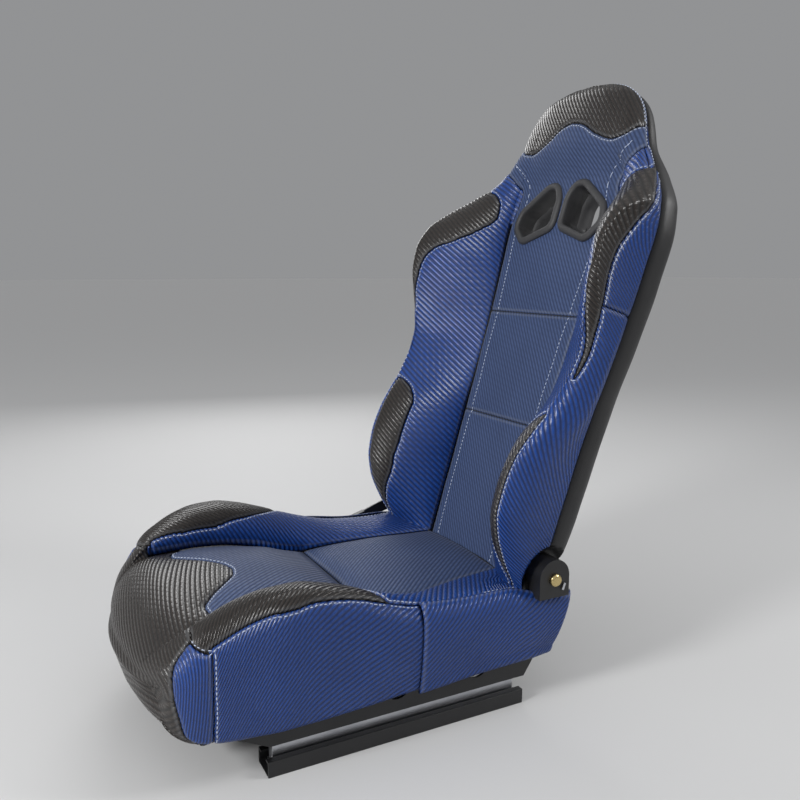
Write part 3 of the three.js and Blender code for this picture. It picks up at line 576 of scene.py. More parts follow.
def add_panels(name, skin, label, looks):
    """One piece from the panels named in looks, {label: (material, weave)}. Each panel keeps its own
    edge points, so that its weave ends at the seam."""
    points, weaves, seams, faces, owners, materials = [], [], [], [], [], []
    count = 0
    for panel, (material, weave) in looks.items():
        chosen = skin.triangles[label == panel]
        if not len(chosen):
            continue
        used, local = np.unique(chosen, return_inverse=True)
        if material not in materials:
            materials.append(material)
        faces.append(local.reshape(-1, 3) + count)
        owners += [materials.index(material)] * len(chosen)
        points.append(skin.shaped[used])
        across, along = weave(skin, used)
        weaves.append(np.stack([across, along, 0 * across], -1))
        seams.append(skin.seam[used])
        count += len(used)
    piece = add_object(name, np.concatenate(points), np.concatenate(faces), materials)
    piece.data.polygons.foreach_set("material_index", owners)
    add_values(piece, "weave", "FLOAT_VECTOR", np.concatenate(weaves))
    add_values(piece, "seam", "FLOAT", np.concatenate(seams))
    thicken(piece, 0.002)
    return piece


def twill(pitch, across_share, along_share, mirrored=False):
    """Weave of ribs a pitch apart whose direction is given by the shares of the two lengths."""
    size = math.hypot(across_share, along_share) * pitch

    def weave(skin, used):
        across = skin.value("across")[used]
        across = np.abs(across) if mirrored else across
        along = skin.value("along")[used]
        ribs = (across_share * across + along_share * along) / size
        floats = (along_share * across - across_share * along) / (2.4 * size)
        return ribs, floats

    return weave


def bolster_weave(skin, used):
    """Ribs that fan out over the ridge of a back bolster."""
    across, along = skin.value("across")[used], skin.value("along")[used]
    beyond = skin.value("beyond_ridge")[used]
    ribs = 0.112 * along + 0.055 * across + 0.065 * beyond
    floats = (0.112 * across - 0.055 * along) / 2.4
    return ribs, floats


def nose_weave(skin, used):
    """Ribs that cross the cushion's front edge and turn down over its nose."""
    forward = 0.8 * (skin.value("fore")[used] + skin.value("height")[used])
    across = skin.value("across")[used]
    return (0.97 * forward + 0.22 * across) / 6.0, (0.97 * across - 0.22 * forward) / 14.0


def uneven(points, size, scale):
    """Slight hand-made unevenness of a stuffed cover."""
    return np.array([noise.noise(Vector(p) / scale) for p in points]) * size


GROOVE_DEPTH, GROOVE_WIDTH = 2.0, 3.0   # the narrow groove at a seam
DRAW_DEPTH, DRAW_REACH = 1.6, 11.0      # the soft hollow that a seam draws round itself
PILLOW_REACH = 13.0
UNEVEN_SIZE, UNEVEN_SCALE = 0.9, 55.0


def shape_skin(skin, label, pillow_pairs, pillow=0.0):
    """Sinks the surface into its seams. Pairs of labels named in pillow_pairs sink deep and wide."""
    chains = seam_chains(skin, label)
    lines = {pair: [skin.points[chain] for chain in found] for pair, found in chains.items()}
    every = [line for found in lines.values() for line in found]
    skin.seam = distance_to(skin.points, every)
    sink = GROOVE_DEPTH * np.exp(-((skin.seam / GROOVE_WIDTH) ** 2))
    sink = sink + DRAW_DEPTH * np.exp(-skin.seam / DRAW_REACH)
    wide = [line for pair, found in lines.items() if pair in pillow_pairs for line in found]
    if wide:
        sink = sink + pillow * np.exp(-distance_to(skin.points, wide) / PILLOW_REACH)
    sink = sink + uneven(skin.points, UNEVEN_SIZE, UNEVEN_SCALE)
    skin.shaped = skin.points - skin.normals * sink[:, None]
    return chains


# ------------------------------------------------------------------ stitches

STITCH_LENGTH, STITCH_GAP, STITCH_RADIUS = 4.8, 2.0, 0.75
SHORTEST_ROW = 12.0
BESIDE_SEAM, CENTRE_ROW = 4.5, 24.0     # from a seam to the usual row, and to the centre panel's row
STITCH_SIDES = 5
# Rings along a stitch: share of its length, then thickness and lift in stitch radii.
STITCH_RINGS = ((0.0, 0.35, -0.5), (0.2, 0.9, 0.1), (0.5, 1.0, 0.35), (0.8, 0.9, 0.1), (1.0, 0.35, -0.5))


def beside(*panels):
    """Rows of stitches close beside a seam, one in each of the panels."""
    return [(panel, BESIDE_SEAM) for panel in panels]


def stitch_row(surface, line, side_normal, offset):
    """Stitches beside a line of positions, laid on the surface. side_normal points to their side."""
    steps = np.linalg.norm(np.diff(line, axis=0), axis=1)
    total = np.r_[0, np.cumsum(steps)]
    if total[-1] < SHORTEST_ROW:
        return []
    pitch = STITCH_LENGTH + STITCH_GAP
    made = []
    for at in np.arange(STITCH_GAP, total[-1] - pitch, pitch):
        ends = []
        for place in (at, at + STITCH_LENGTH / 2, at + STITCH_LENGTH):
            spot = np.array([np.interp(place, total, line[:, k]) for k in range(3)])
            aside = np.array([np.interp(place, total, side_normal[:, k]) for k in range(3)])
            aside /= max(np.linalg.norm(aside), 1e-9)
            found = surface.find_nearest(Vector(spot + offset * aside))
            ends.append((np.array(found[0]), np.array(found[1])))
        made.append(ends)
    return made


def side_of_chain(skin, label, chain, wanted):
    """Direction from each point of a chain into the panel called wanted, along the surface."""
    line = skin.points[chain]
    tangent = np.gradient(line, axis=0)
    tangent /= np.maximum(np.linalg.norm(tangent, axis=1, keepdims=True), 1e-9)
    aside = np.cross(skin.normals[chain], tangent)
    members = set(chain)
    centre_of = skin.points[skin.triangles[label == wanted]].mean(1)
    touching = np.array([any(int(v) in members for v in t) for t in skin.triangles[label == wanted]])
    if touching.any():
        near = centre_of[touching]
        middle = len(chain) // 2
        gap = near - line[middle]
        closest = gap[np.argmin((gap ** 2).sum(1))]
        if closest @ aside[middle] < 0:
            aside = -aside
    return aside


def add_stitches(name, rows):
    """One mesh for many stitches: each a short rounded float that dips at its ends."""
    points, faces = [], []
    sides, rings = STITCH_SIDES, STITCH_RINGS
    for ends in rows:
        start, middle, end = (e[0] for e in ends)
        up = ends[1][1]
        run = end - start
        across = np.cross(up, run)
        across /= max(np.linalg.norm(across), 1e-9)
        base = len(points)
        for share, thick, lift in rings:
            centre = start + share * run + 4 * share * (1 - share) * (middle - (start + end) / 2)
            centre = centre + up * lift * STITCH_RADIUS
            for k in range(sides):
                angle = 2 * math.pi * k / sides
                spread = across * math.cos(angle) + up * math.sin(angle)
                points.append(centre + spread * thick * STITCH_RADIUS)
        for r in range(len(rings) - 1):
            for k in range(sides):
                a, b = base + r * sides + k, base + r * sides + (k + 1) % sides
                faces.append((a, b, b + sides, a + sides))
        faces.append(tuple(base + k for k in reversed(range(sides))))
        faces.append(tuple(base + (len(rings) - 1) * sides + k for k in range(sides)))
    return add_object(name, points, faces, THREAD)


def stitches_on(skin, label, chains, styles, left_out=()):
    """Rows of stitches beside the seams, as styles says: {(label, label): [(panel, offset), ...]}."""
    keep = ~np.isin(label, list(left_out))
    surface = BVHTree.FromPolygons([Vector(p) for p in skin.shaped], skin.triangles[keep].tolist())
    rows = []
    for pair, wanted in styles.items():
        for chain in chains.get(tuple(sorted(pair)), []):
            if len(chain) < 6:
                continue
            for panel, offset in wanted:
                aside = side_of_chain(skin, label, chain, panel)
                rows += stitch_row(surface, skin.shaped[chain], aside, offset)
    return rows


# ------------------------------------------------------------------ harness slots

SLOT_CORNERS = ((17, 553), (84, 531), (108, 553), (104, 575), (45, 617), (27, 616), (17, 598))
CORNER_REACH, CORNER_STEPS = 8.0, 6


def slot_outline():
    """Rounded outline of the left slot as (x, s) points, anticlockwise."""
    corners = np.array(SLOT_CORNERS, float)
    points = []
    for before, corner, after in zip(np.roll(corners, 1, 0), corners, np.roll(corners, -1, 0)):
        reach = [CORNER_REACH / np.linalg.norm(other - corner) for other in (before, after)]
        enter = corner + (before - corner) * min(reach[0], 0.45)
        leave = corner + (after - corner) * min(reach[1], 0.45)
        for t in np.linspace(0, 1, CORNER_STEPS):
            points.append((1 - t) ** 2 * enter + 2 * t * (1 - t) * corner + t * t * leave)
    return np.array(points)


SLOT = slot_outline()


def slot_distance(x, s):
    """Signed distance from the slot's outline in the (x, s) plane, negative inside."""
    at = np.stack([np.abs(x), s], -1).reshape(-1, 2)
    near = (np.abs(at - SLOT.mean(0)) < 75).all(1)
    result = np.full(len(at), 60.0)
    picked = at[near]
    best = np.full(len(picked), 1e9)
    inside = np.zeros(len(picked), bool)
    for a, b in zip(SLOT, np.roll(SLOT, -1, 0)):
        run = b - a
        share = np.clip(((picked - a) @ run) / max(run @ run, 1e-9), 0, 1)
        best = np.minimum(best, np.linalg.norm(picked - a - share[:, None] * run, axis=1))
        spans = (a[1] > picked[:, 1]) != (b[1] > picked[:, 1])
        rise = b[1] - a[1] if b[1] != a[1] else 1e-9
        inside ^= spans & (picked[:, 0] < a[0] + (picked[:, 1] - a[1]) * run[0] / rise)
    result[near] = np.where(inside, -best, best)
    return result.reshape(np.shape(x))


def add_bezel(name, side, profile, node):
    """Moulded ring round a slot. The profile is a closed loop of (offset outwards, n) points."""
    tangent = np.roll(SLOT, -1, 0) - np.roll(SLOT, 1, 0)
    outward = np.stack([tangent[:, 1], -tangent[:, 0]], -1)
    outward /= np.linalg.norm(outward, axis=1, keepdims=True)
    points, faces = [], []
    for centre, away in zip(SLOT, outward):
        for offset, n in profile:
            x, s = centre + away * offset
            points.append(back_point(side * x, s, n))
    loop, count = len(profile), len(SLOT)
    for i in range(count):
        for k in range(loop):
            a, b = i * loop + k, i * loop + (k + 1) % loop
            c, d = ((i + 1) % count) * loop + (k + 1) % loop, ((i + 1) % count) * loop + k
            faces.append((a, b, c, d) if side > 0 else (a, d, c, b))
    piece = add_object(name, points, faces, GREY_PLASTIC)
    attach(piece, "backrest")
    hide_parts(node)


def make_bezels():
    front = [(0, -29), (0, 2), (1, 4.6), (3, 6.2), (6, 6.6), (9.5, 6.0), (12.3, 4.0), (13.6, 1.5), (13.8, -2),
             (2.4, -2), (2.4, -29)]
    rear = [(0, -28.6), (2.4, -28.6), (2.4, -54), (12.0, -54), (12.0, -58), (11, -60.4), (8, -61.6),
            (4, -61.6), (1, -60), (0, -58)]
    for word, side in SIDES:
        add_bezel(f"slot_bezel_front_{word}", side, front, f"harness_bezel_front_{word}")
        add_bezel(f"slot_bezel_rear_{word}", side, rear, f"harness_bezel_rear_{word}")


# ------------------------------------------------------------------ backrest covers

cap_seam = curve((0, 721), (25, 716), (65, 695), (105, 683), (130, 688), (150, 700), (180, 712))
fabric_edge = curve(
    (560, 140), (600, 131), (615, 128), (640, 149), (650, 164), (661, 172), (672, 180), (700, 260))
shoulder_inner = curve(
    (280, 2.22), (338, 2.20), (380, 2.02), (405, 1.92), (425, 1.86), (460, 1.80), (482, 1.72),
    (504, 1.58), (539, 1.40), (566, 1.31), (592, 1.40), (612, 1.68), (625, 2.7), (632, 3.6))
shoulder_outer = curve(
    (280, 2.22), (300, 2.36), (338, 2.46), (373, 2.56), (406, 2.70), (460, 2.80), (507, 2.94),
    (553, 2.98), (594, 3.05), (612, 3.3), (628, 4.0))
lumbar_inner = curve(
    (-28, 1.95), (-6, 1.86), (23, 1.73), (61, 1.62), (130, 1.59), (186, 1.59), (212, 1.66), (226, 1.80),
    (232, 1.98))
lumbar_outer = curve((-28, 2.02), (190, 2.03), (216, 2.00), (232, 1.92))


def back_grid():
    straight = np.linspace(BACK_BOTTOM, CAP_START, 213)
    for height in CENTRE_SEAMS:
        straight[np.argmin(np.abs(straight - height))] = height
    rounded = CAP_START + (BACK_TOP - CAP_START) * np.sin(np.linspace(0, 1, 30)[1:] * HALF_PI)
    ring = ring_of(BACK_STEPS)
    q, s = np.meshgrid(ring, np.r_[np.full(CLOSING_ROWS, BACK_BOTTOM), straight, rounded])
    x, n = back_section(np.abs(q), s)
    closing = np.ones(len(s))
    closing[:CLOSING_ROWS] = np.arange(CLOSING_ROWS) / CLOSING_ROWS
    middle = (centre_height(s) + rear_depth(s)) / 2
    n = middle + (n - middle) * closing[:, None]
    return q, s, x * np.where(q < 0, -1, 1), n


def clear_recliner(x, s, n):
    """Heights raised at the back's lower corners, where the recliner's pawl and cam move."""
    corner = smoothstep((np.abs(x) - 150) / 25) * smoothstep((34 - n) / 24)
    low = 16.0
    return np.where(s < low, low + (s - low) * (1 - 0.85 * corner), s)


def hinge_recess(points):
    """Hollows the sides of the back where the hinge covers stand."""
    radius = np.hypot(points[..., 1] - PIVOT[1], points[..., 2] - PIVOT[2])
    limit = 205 + 60 * smoothstep((radius - 34) / 26)
    x = points[..., 0]
    points[..., 0] = np.sign(x) * np.minimum(np.abs(x), limit)
    return points


def make_back():
    q, s, x, n = back_grid()
    points = hinge_recess(back_point(x, clear_recliner(x, s, n), n))
    part = np.abs(q)
    wide = np.abs(x)
    edge = np.where(s < 560, centre_half(s), fabric_edge(s))
    across = lengths_along(points, 1, 0)
    ring_length = np.linalg.norm(points[:, -1] - points[:, 0], axis=-1) + across[:, -1]
    across = np.where(q < 0, across - ring_length[:, None], across)
    ridge_column = int(np.argmin(np.abs(q[0] - 2)))
    beyond = np.maximum(0, np.abs(across) - across[:, ridge_column][:, None])
    slope = 70.0
    end_face = np.zeros(s.shape)
    end_face[:CLOSING_ROWS] = 1
    values = {
        "q": part, "end_face": end_face, "side": np.where(q < 0, -1.0, 1.0), "across": across,
        "along": lengths_along(points, 0, BACK_WEAVE_ROW)[:, :1] + 0 * s, "beyond_ridge": beyond,
        "centre": np.where(part < 3, wide - edge, 60.0),
        "cap": s - cap_seam(wide),
        "band": (part - 3.12) * 60,
        "shoulder": np.minimum(part - shoulder_inner(s), shoulder_outer(s) - part) * slope,
        "lumbar": np.minimum(part - lumbar_inner(s), lumbar_outer(s) - part) * slope,
        "slot": np.where((part < 1) | (part > 4), slot_distance(x, s) - 2.0, 60.0),
        "low_seam": s - CENTRE_SEAMS[0],
        "high_seam": s - CENTRE_SEAMS[1],
        "rear": (part - 4) * 60,
    }
    skin = Skin(points, grid_normals(points), values)
    for name in ("rear", "band", "cap", "centre", "shoulder", "lumbar", "slot", "low_seam", "high_seam"):
        skin.cut(name)
    value = skin.at_triangles
    tags = np.full(len(skin.triangles), "bolster").astype("U16")
    tags[(value("q") > 2.6) & (value("high_seam") > 0)] = "upper_side"
    tags[value("lumbar") > 0] = "lumbar"
    tags[value("shoulder") > 0] = "shoulder"
    tags[(value("centre") < 0) & (value("low_seam") < 0)] = "centre_low"
    tags[(value("centre") < 0) & (value("low_seam") > 0) & (value("high_seam") < 0)] = "centre_middle"
    tags[(value("centre") < 0) & (value("high_seam") > 0)] = "centre_top"
    tags[(value("cap") > 0) & (value("band") < 0)] = "cap"
    tags[value("rear") > 0] = "rear"
    tags[value("slot") < 0] = "open"
    tags[value("end_face") > 0] = "rear"
    sided = np.isin(tags, ["bolster", "upper_side", "lumbar", "shoulder"])
    left = value("side") > 0
    label = np.where(sided, np.char.add(tags, np.where(left, "_left", "_right")), tags)
    chains = shape_skin(skin, label, ())
    return skin, label, chains


FABRIC_WEAVE = twill(6.3, 0.77, 0.64)
SIDE_WEAVE = twill(5.8, 0.7, 0.7, mirrored=True)
PATCH_WEAVE = twill(7.0, 0.50, 0.86)

# Two points on the middle line of the back's lower end, in metres. Nothing in the script uses them.
BLEND_START = tuple(back_point(0, BACK_BOTTOM, 20) / 1000)
BLEND_END = tuple(back_point(0, 85.0, 20) / 1000)


def settle_on_back(piece, node=None):
    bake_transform(piece)
    if node:
        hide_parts(node)


def dress_back():
    skin, label, chains = make_back()
    centre = add_panels("back_centre_cover", skin, label, {
        "centre_low": (FABRIC, FABRIC_WEAVE),
        "centre_middle": (FABRIC, FABRIC_WEAVE),
        "centre_top": (FABRIC, FABRIC_WEAVE),
    })
    settle_on_back(centre, "back_centre_pad")
    cap = add_panels("headrest_cap", skin, label, {"cap": (DARK_VINYL, FABRIC_WEAVE)})
    settle_on_back(cap, "headrest_pad")
    for word, _ in SIDES:
        cover = add_panels(f"back_bolster_cover_{word}", skin, label, {
            f"bolster_{word}": (BLUE_VINYL, bolster_weave),
            f"upper_side_{word}": (BLUE_VINYL, SIDE_WEAVE),
            f"lumbar_{word}": (DARK_VINYL, PATCH_WEAVE),
            f"shoulder_{word}": (DARK_VINYL, PATCH_WEAVE),
        })
        settle_on_back(cover, f"back_bolster_{word}")
    rear = add_panels("back_shell_cover", skin, label, {"rear": (BLACK_VINYL, FABRIC_WEAVE)})
    settle_on_back(rear, "back_rear_cover")
    styles = {}
    for word, _ in SIDES:
        for height in ("low", "middle", "top"):
            styles[(f"centre_{height}", f"bolster_{word}")] = [(f"centre_{height}", CENTRE_ROW)]
        styles[(f"bolster_{word}", f"shoulder_{word}")] = beside(f"bolster_{word}")
        styles[(f"shoulder_{word}", f"upper_side_{word}")] = beside(f"upper_side_{word}")
        styles[(f"bolster_{word}", f"lumbar_{word}")] = beside(f"bolster_{word}")
        styles[("cap", f"upper_side_{word}")] = beside("cap")
    styles[("cap", "centre_top")] = beside("centre_top")
    rows = stitches_on(skin, label, chains, styles, left_out=("open",))
    threads = add_stitches("back_stitches", rows)
    settle_on_back(threads)
    make_bezels()


# ------------------------------------------------------------------ cushion surface

NOSE_START, NOSE_DEPTH, NOSE_MIDDLE = -505.0, 70.0, 128.0
NOSE_ROWS = 9
PAN_STEPS = (42, 28, 14, 42, 6, 12, 24)
PAN_WEAVE_ROW = 100
CUSHION_REAR = -4.0
CREASE_Y = -239.0
PAN_RIDGE_INSET = 26                    # from the bolster's ridge out to its widest line
SIDE_TAPER = 10                         # how far the side leans in at its foot
FOOT_HEIGHT, HEM_WIDTH, HEM_DROP = 14, 14, 12
SIDE_SPLIT_Y = -205.0
pan_width = curve(
    (-575, 214), (-540, 222), (-500, 228), (-460, 233), (-400, 238), (-300, 237), (-200, 233),
    (-100, 229), (0, 232), (37, 232))
pan_ridge = curve(
    (-575, 176), (-547, 192), (-522, 213), (-500, 226), (-460, 243), (-420, 252), (-380, 254), (-340, 247),
    (-300, 235), (-260, 220), (-220, 206), (-180, 195), (-140, 190), (-100, 188), (0, 187), (37, 180))
pan_centre_half = curve(
    (-575, 140), (-540, 150), (-500, 158), (-400, 160), (-300, 150), (-200, 140), (-100, 120), (0, 106))
pan_centre_height = curve(
    (-575, 172), (-540, 188), (-500, 197), (-440, 197), (-380, 193), (-320, 185), (-275, 173),
    (-240, 167), (-180, 170), (-100, 175), (-20, 176), (37, 172))
pan_crown = curve(
    (-575, 6), (-500, 11), (-420, 16), (-330, 14), (-265, 8), (-239, 1), (-213, 6),
    (-130, 12), (-40, 9), (-4, 5))
pan_bottom = curve((-575, 66), (-450, 62), (-300, 64), (-100, 70), (37, 76))
side_seam = curve(
    (-575, 2.6), (-500, 2.66), (-437, 2.68), (-403, 2.72), (-353, 2.58), (-303, 2.45), (-259, 2.40),
    (-191, 2.29), (-122, 2.21), (-60, 2.15), (37, 2.15))
patch_inner = curve(
    (-575, 150), (-540, 158), (-512, 166), (-437, 162.5), (-387, 163), (-338, 169), (-300, 186),
    (-275, 206), (-256, 226))
insert_front = curve(
    (0, -406), (22, -411), (55, -436), (85, -463), (108, -476), (128, -474), (150, -460), (170, -446))
corner_front = curve((60, 200), (100, 200), (142, 195), (183, 189), (201, 191))


def pan_section(q, y):
    """x and z of the cushion's outline. q runs 0-1 over the centre, 1-2 up the bolster, 2-3 over its
    ridge, 3-4 down its side, 4-5 round the hem, 5-6 up inside and 6-7 along the underside."""
    width, ridge, inner = pan_width(y), pan_ridge(y), pan_centre_half(y)
    level, bottom = pan_centre_height(y), pan_bottom(y)
    ridge_x = width - PAN_RIDGE_INSET
    shoulder = np.minimum(36, (ridge - bottom) * 0.45)
    under = bottom + 4 + (114 - bottom) * smoothstep((y + 530) / 26)
    climb, over, hem = (np.clip(q - k, 0, 1) * HALF_PI for k in (1, 2, 4))
    down, up, back = (np.clip(q - k, 0, 1) for k in (3, 5, 6))
    lift = 2 / (1.7 + 0.9 * smoothstep((-y - 250) / 130) * smoothstep((y + 565) / 45))
    side_foot = bottom + FOOT_HEIGHT
    xs = [
        inner * np.clip(q, 0, 1),
        ridge_x - (ridge_x - inner) * power(np.cos(climb), lift),
        ridge_x + PAN_RIDGE_INSET * np.sin(over),
        width - SIDE_TAPER * down ** 2,
        width - SIDE_TAPER - HEM_WIDTH * (1 - np.cos(hem)),
        width - 24 - 2 * up,
        (width - 26) * (1 - back),
    ]
    zs = [
        level + pan_crown(y) * (1 - np.clip(q, 0, 1) ** 2),
        level + (ridge - level) * power(np.sin(climb), lift),
        ridge - shoulder * (1 - np.cos(over)),
        (ridge - shoulder) + (side_foot - ridge + shoulder) * down,
        side_foot - HEM_DROP * np.sin(hem),
        bottom + 2 + (under - bottom - 2) * up,
        under + 0 * q,
    ]
    stretch = [q < k for k in (1, 2, 3, 4, 5, 6)]
    return np.select(stretch, xs[:6], xs[6]), np.select(stretch, zs[:6], zs[6])


def pan_point(x, z, y, collapse):
    """Rounds the nose over and bows the front edge back at its corners. collapse closes the nose."""
    ahead = np.clip((NOSE_START - y) / NOSE_DEPTH, 0, 1)
    cap = power(1 - ahead ** 2.4, 1 / 2.4)
    bow = 34 * power((-y - 330) / 245, 1.5) * (np.abs(x) / 225) ** 2.4
    height = NOSE_MIDDLE + (z - NOSE_MIDDLE) * (0.25 + 0.75 * cap) * collapse
    bulge = 6 * (1 - collapse ** 2) ** 2
    narrowing = (0.8 + 0.2 * cap) * (1 - 0.14 * (1 - collapse ** 2) ** 2)
    wide = np.abs(x)
    corner = 14 * smoothstep((wide - 150) / 20) + 14 * smoothstep((wide - 178) / 12)
    rear = corner * smoothstep((y + 90) / 80)
    return np.stack([x * narrowing, y + bow - bulge - rear + PAN_REAR_Y, height], -1)


def make_cushion():
    nose = NOSE_START - NOSE_DEPTH * np.cos(np.linspace(0, 1, 34) * HALF_PI)
    straight = np.linspace(NOSE_START, CUSHION_REAR, 141)
    closed_nose, closed_rear = np.full(NOSE_ROWS, nose[0]), np.full(CLOSING_ROWS, CUSHION_REAR)
    stations = np.r_[closed_nose, nose[:-1], straight, closed_rear]
    collapse = np.ones(len(stations))
    collapse[:NOSE_ROWS] = np.arange(NOSE_ROWS) / NOSE_ROWS
    collapse[-CLOSING_ROWS:] = np.arange(CLOSING_ROWS)[::-1] / CLOSING_ROWS
    ring = ring_of(PAN_STEPS)
    q, y = np.meshgrid(ring, stations)
    part = np.abs(q)
    x, z = pan_section(part, y)
    points = pan_point(x * np.where(q < 0, -1, 1), z, y, collapse[:, None])
    wide = np.abs(points[..., 0])
    height = points[..., 2]
    real_y = points[..., 1] - PAN_REAR_Y
    section = np.stack([x, z, 0 * x], -1)
    across = np.where(q < 0, -1, 1) * lengths_along(section, 1, 0)[:, mirror_columns(ring)]
    inner = pan_centre_half(y)
    nose_edge = inner + (corner_front(height) - inner) * smoothstep((213 - height) / 9)
    normals = grid_normals(points)
    normals[:3] = (0, -1, 0)
    end_face = np.zeros(y.shape)
    end_face[-CLOSING_ROWS:] = 1
    values = {
        "q": part, "side": np.where(q < 0, -1.0, 1.0), "end_face": end_face,
        "across": across, "along": lengths_along(points, 0, PAN_WEAVE_ROW)[:, :1] + 0 * y,
        "height": height, "fore": np.where(height < NOSE_MIDDLE, 2 * real_y[:1] - real_y, real_y),
        "wavy": y - insert_front(wide),
        "crease": y - CREASE_Y,
        "nose": np.maximum(wide - nose_edge, (real_y + 500)),
        "ridge": (part - side_seam(y)) * 45,
        "patch": np.minimum(wide - patch_inner(y), -256 - y),
        "corner_top": height - (201 - (wide - 192) * 0.27),
        "corner_rear": real_y + 494,
        "split": y - SIDE_SPLIT_Y,
        "centre": (part - 1) * 100,
        "under": np.minimum((part - 5) * 60, y + 528),
    }
    skin = Skin(points, normals, values)
    for name in ("centre", "under", "ridge", "wavy", "crease", "nose", "patch", "corner_top", "corner_rear",
                 "split"):
        skin.cut(name)
    value = skin.at_triangles
    tags = np.full(len(skin.triangles), "bolster").astype("U16")
    tags[(value("patch") > 0) & (value("ridge") < 0)] = "patch"
    tags[(value("ridge") > 0) & (value("split") < 0)] = "side"
    tags[(value("ridge") > 0) & (value("split") > 0)] = "hidden"
    tags[(value("corner_rear") < 0) & (value("corner_top") < 0) & (value("q") > 1)] = "corner"
    tags[(tags == "bolster") & (value("corner_rear") < 0)] = "patch"
    tags[(value("nose") < 0) & (value("q") > 1)] = "nose"
    tags[(value("centre") < 0) & (value("wavy") < 0)] = "nose"
    tags[(value("centre") < 0) & (value("wavy") > 0) & (value("crease") < 0)] = "insert"
    tags[(value("centre") < 0) & (value("crease") > 0)] = "rear_pad"
    tags[value("under") > 0] = "under"
    tags[value("end_face") > 0] = "under"
    sided = np.isin(tags, ["bolster", "patch", "side", "corner", "hidden"])
    left = value("side") > 0
    label = np.where(sided, np.char.add(tags, np.where(left, "_left", "_right")), tags)
    pillow = {tuple(sorted((a, f"bolster_{word}"))) for a in ("insert", "nose") for word, _ in SIDES}
    pillow.add(("insert", "rear_pad"))
    chains = shape_skin(skin, label, pillow, pillow=6.0)
    tucked = (skin.value("split") > -1) & (skin.value("under") < -1)
    depth = 5.0 * smoothstep((skin.value("ridge") - 2) / 10) * tucked
    skin.shaped -= skin.normals * depth[:, None]
    return skin, label, chains


def settle_on_base(piece, nodes=()):
    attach(piece, "seat_base")
    if nodes:
        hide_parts(*nodes)


PANEL_FRONT, PANEL_REAR = SIDE_SPLIT_Y - 3.5, 52.0

# Top edge of the rear side panel, from the vertical seam back past the hinge.
panel_top_x = curve((-205, 219.5), (-122, 212), (-60, 211), (-7, 223), (37, 228))
panel_top_z = curve((-205, 197), (-122, 187.5), (-60, 186), (-7, 176), (37, 168))


def side_panel_profile(y, columns):
    """x and z down the rear side panel at y, then round its hem and up its inside."""
    width, bottom = pan_width(y), pan_bottom(y)
    top_x, top_z = panel_top_x(y), panel_top_z(y)
    shoulder = 24.0
    foot = bottom + FOOT_HEIGHT
    profile = []
    for t in np.linspace(0, 1, columns // 4, endpoint=False):
        angle = t * HALF_PI
        profile.append((top_x + (width - top_x) * math.sin(angle), top_z - shoulder * (1 - math.cos(angle))))
    for t in np.linspace(0, 1, columns, endpoint=False):
        profile.append((width - SIDE_TAPER * t * t, top_z - shoulder + (foot - top_z + shoulder) * t))
    for t in np.linspace(0, 1, 7):
        angle = t * math.pi
        profile.append((width - 12.5 + 2.5 * math.cos(angle), foot - HEM_DROP * math.sin(angle)))
    return profile


def add_side_panel(word, side):
    """Rear part of the cushion's side, a folded cover with a slanting rear edge."""
    stations = np.linspace(PANEL_FRONT, PANEL_REAR, 78)
    points, faces, weave, seams = [], [], [], []
    for y in stations:
        profile = side_panel_profile(y, 40)
        rear = smoothstep((y + 20) / (PANEL_REAR + 20))
        length = 0.0
        previous = profile[0]
        for k, (x, z) in enumerate(profile):
            length += math.dist(previous, (x, z))
            previous = (x, z)
            slant = 30 * rear * np.clip((172 - z) / 96, 0, 1)
            tuck = 9 * max(0, (y - PANEL_REAR + 12) / 12) ** 2
            sink = 1.6 * math.exp(-(((y - PANEL_FRONT) / 3) ** 2)) + 1.2 * math.exp(-length / 4)
            points.append((side * (x - tuck - sink), y - slant + PAN_REAR_Y, z))
            weave.append(((0.7 * y + 0.7 * length) / 5.8, (0.7 * y - 0.7 * length) / 14.0, 0))
            seams.append(min(y - PANEL_FRONT, length) + 0.5)
    columns = len(points) // len(stations)
    for i in range(len(stations) - 1):
        for k in range(columns - 1):
            a, b = i * columns + k, (i + 1) * columns + k
            faces.append((a, b, b + 1, a + 1) if side > 0 else (a, a + 1, b + 1, b))
    panel = add_object(f"cushion_side_rear_{word}", points, faces, BLUE_VINYL)
    add_values(panel, "weave", "FLOAT_VECTOR", weave)
    add_values(panel, "seam", "FLOAT", seams)
    thicken(panel, 0.0025)
    settle_on_base(panel)
    top = np.array([points[i * columns + 3] for i in range(len(stations))], float)
    tree = BVHTree.FromPolygons([Vector(p) for p in points], faces)
    aside = np.tile([side * 1.0, 0.0, -0.35], (len(top), 1))
    return stitch_row(tree, top, aside, 1.0)


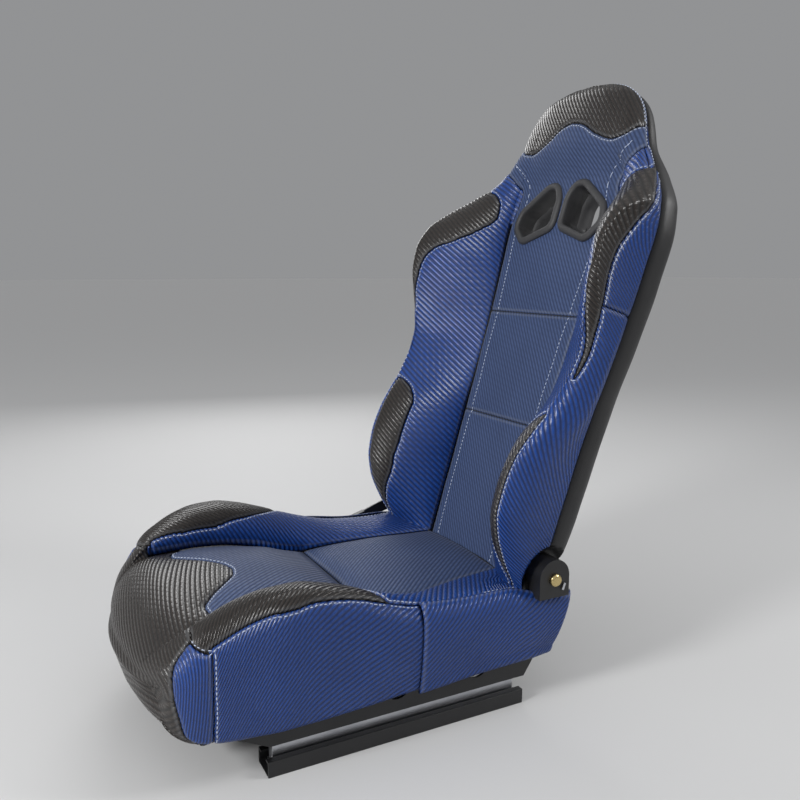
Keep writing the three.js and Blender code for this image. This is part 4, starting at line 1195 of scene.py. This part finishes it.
def dress_cushion():
    skin, label, chains = make_cushion()
    insert = add_panels("cushion_insert_cover", skin, label, {
        "insert": (FABRIC, FABRIC_WEAVE),
        "nose": (DARK_VINYL, nose_weave),
    })
    settle_on_base(insert, ("cushion_front_insert", "cushion_skirt_front"))
    pad = add_panels("cushion_rear_cover", skin, label, {"rear_pad": (FABRIC, FABRIC_WEAVE)})
    settle_on_base(pad, ("cushion_rear_pad",))
    for word, _ in SIDES:
        bolster = add_panels(f"cushion_bolster_cover_{word}", skin, label, {
            f"bolster_{word}": (BLUE_VINYL, twill(7.0, 0.5, 0.85, mirrored=True)),
            f"patch_{word}": (DARK_VINYL, twill(5.4, 0.8, 0.6, mirrored=True)),
            f"hidden_{word}": (BLUE_VINYL, SIDE_WEAVE),
        })
        settle_on_base(bolster, (f"cushion_bolster_{word}",))
        side = add_panels(f"cushion_side_{word}", skin, label, {
            f"side_{word}": (BLUE_VINYL, SIDE_WEAVE),
            f"corner_{word}": (BLUE_VINYL, twill(5.0, 0.06, 1.0)),
        })
        settle_on_base(side, (f"cushion_skirt_{word}",))
    under = add_panels("cushion_underside", skin, label, {"under": (FELT, FABRIC_WEAVE)})
    settle_on_base(under)
    styles = {}
    for word, _ in SIDES:
        styles[(f"patch_{word}", f"side_{word}")] = beside(f"side_{word}")
        styles[(f"bolster_{word}", f"side_{word}")] = beside(f"side_{word}", f"bolster_{word}")
        styles[(f"bolster_{word}", f"hidden_{word}")] = beside(f"bolster_{word}")
        styles[(f"bolster_{word}", f"patch_{word}")] = beside(f"bolster_{word}")
        styles[(f"corner_{word}", f"side_{word}")] = beside(f"side_{word}")
        styles[(f"patch_{word}", f"corner_{word}")] = beside(f"patch_{word}")
    styles[("insert", "nose")] = beside("insert")
    rows = stitches_on(skin, label, chains, styles)
    for word, side in SIDES:
        rows += add_side_panel(word, side)
    settle_on_base(add_stitches("cushion_stitches", rows))


# ------------------------------------------------------------------ finishes of the frame's own parts

def smooth_faces():
    """Node group that smooths every face, for the modifiers of the frame's own parts."""
    group = bpy.data.node_groups.new("smooth_faces", "GeometryNodeTree")
    for way in ("INPUT", "OUTPUT"):
        group.interface.new_socket("Geometry", in_out=way, socket_type="NodeSocketGeometry")
    kinds = ("NodeGroupInput", "GeometryNodeSetShadeSmooth", "NodeGroupOutput")
    chain = [group.nodes.new(kind) for kind in kinds]
    for before, after in zip(chain, chain[1:]):
        group.links.new(before.outputs[0], after.inputs[0])
    return group


def finish_nodes():
    """Materials on the objects' own slots, and rounded edges by modifiers. The meshes stay as they are."""
    group = smooth_faces()
    slots = {entry["node"]: entry["material_slot"] for entry in frame["record"]["subparts"]}
    for name, node in frame["nodes"].items():
        material = FINISHES.get(slots[name])
        if material is None:
            continue
        node.material_slots[0].link = "OBJECT"
        node.material_slots[0].material = material
        node.modifiers.new("smooth", "NODES").node_group = group
        weld = node.modifiers.new("weld", "WELD")
        weld.merge_threshold = 0.00001
        bevel = node.modifiers.new("edges", "BEVEL")
        bevel.width = 0.0007
        bevel.segments = 2
        bevel.limit_method = "ANGLE"
        bevel.angle_limit = math.radians(40)
        node.modifiers.new("normals", "WEIGHTED_NORMAL")


dress_back()
dress_cushion()
finish_nodes()
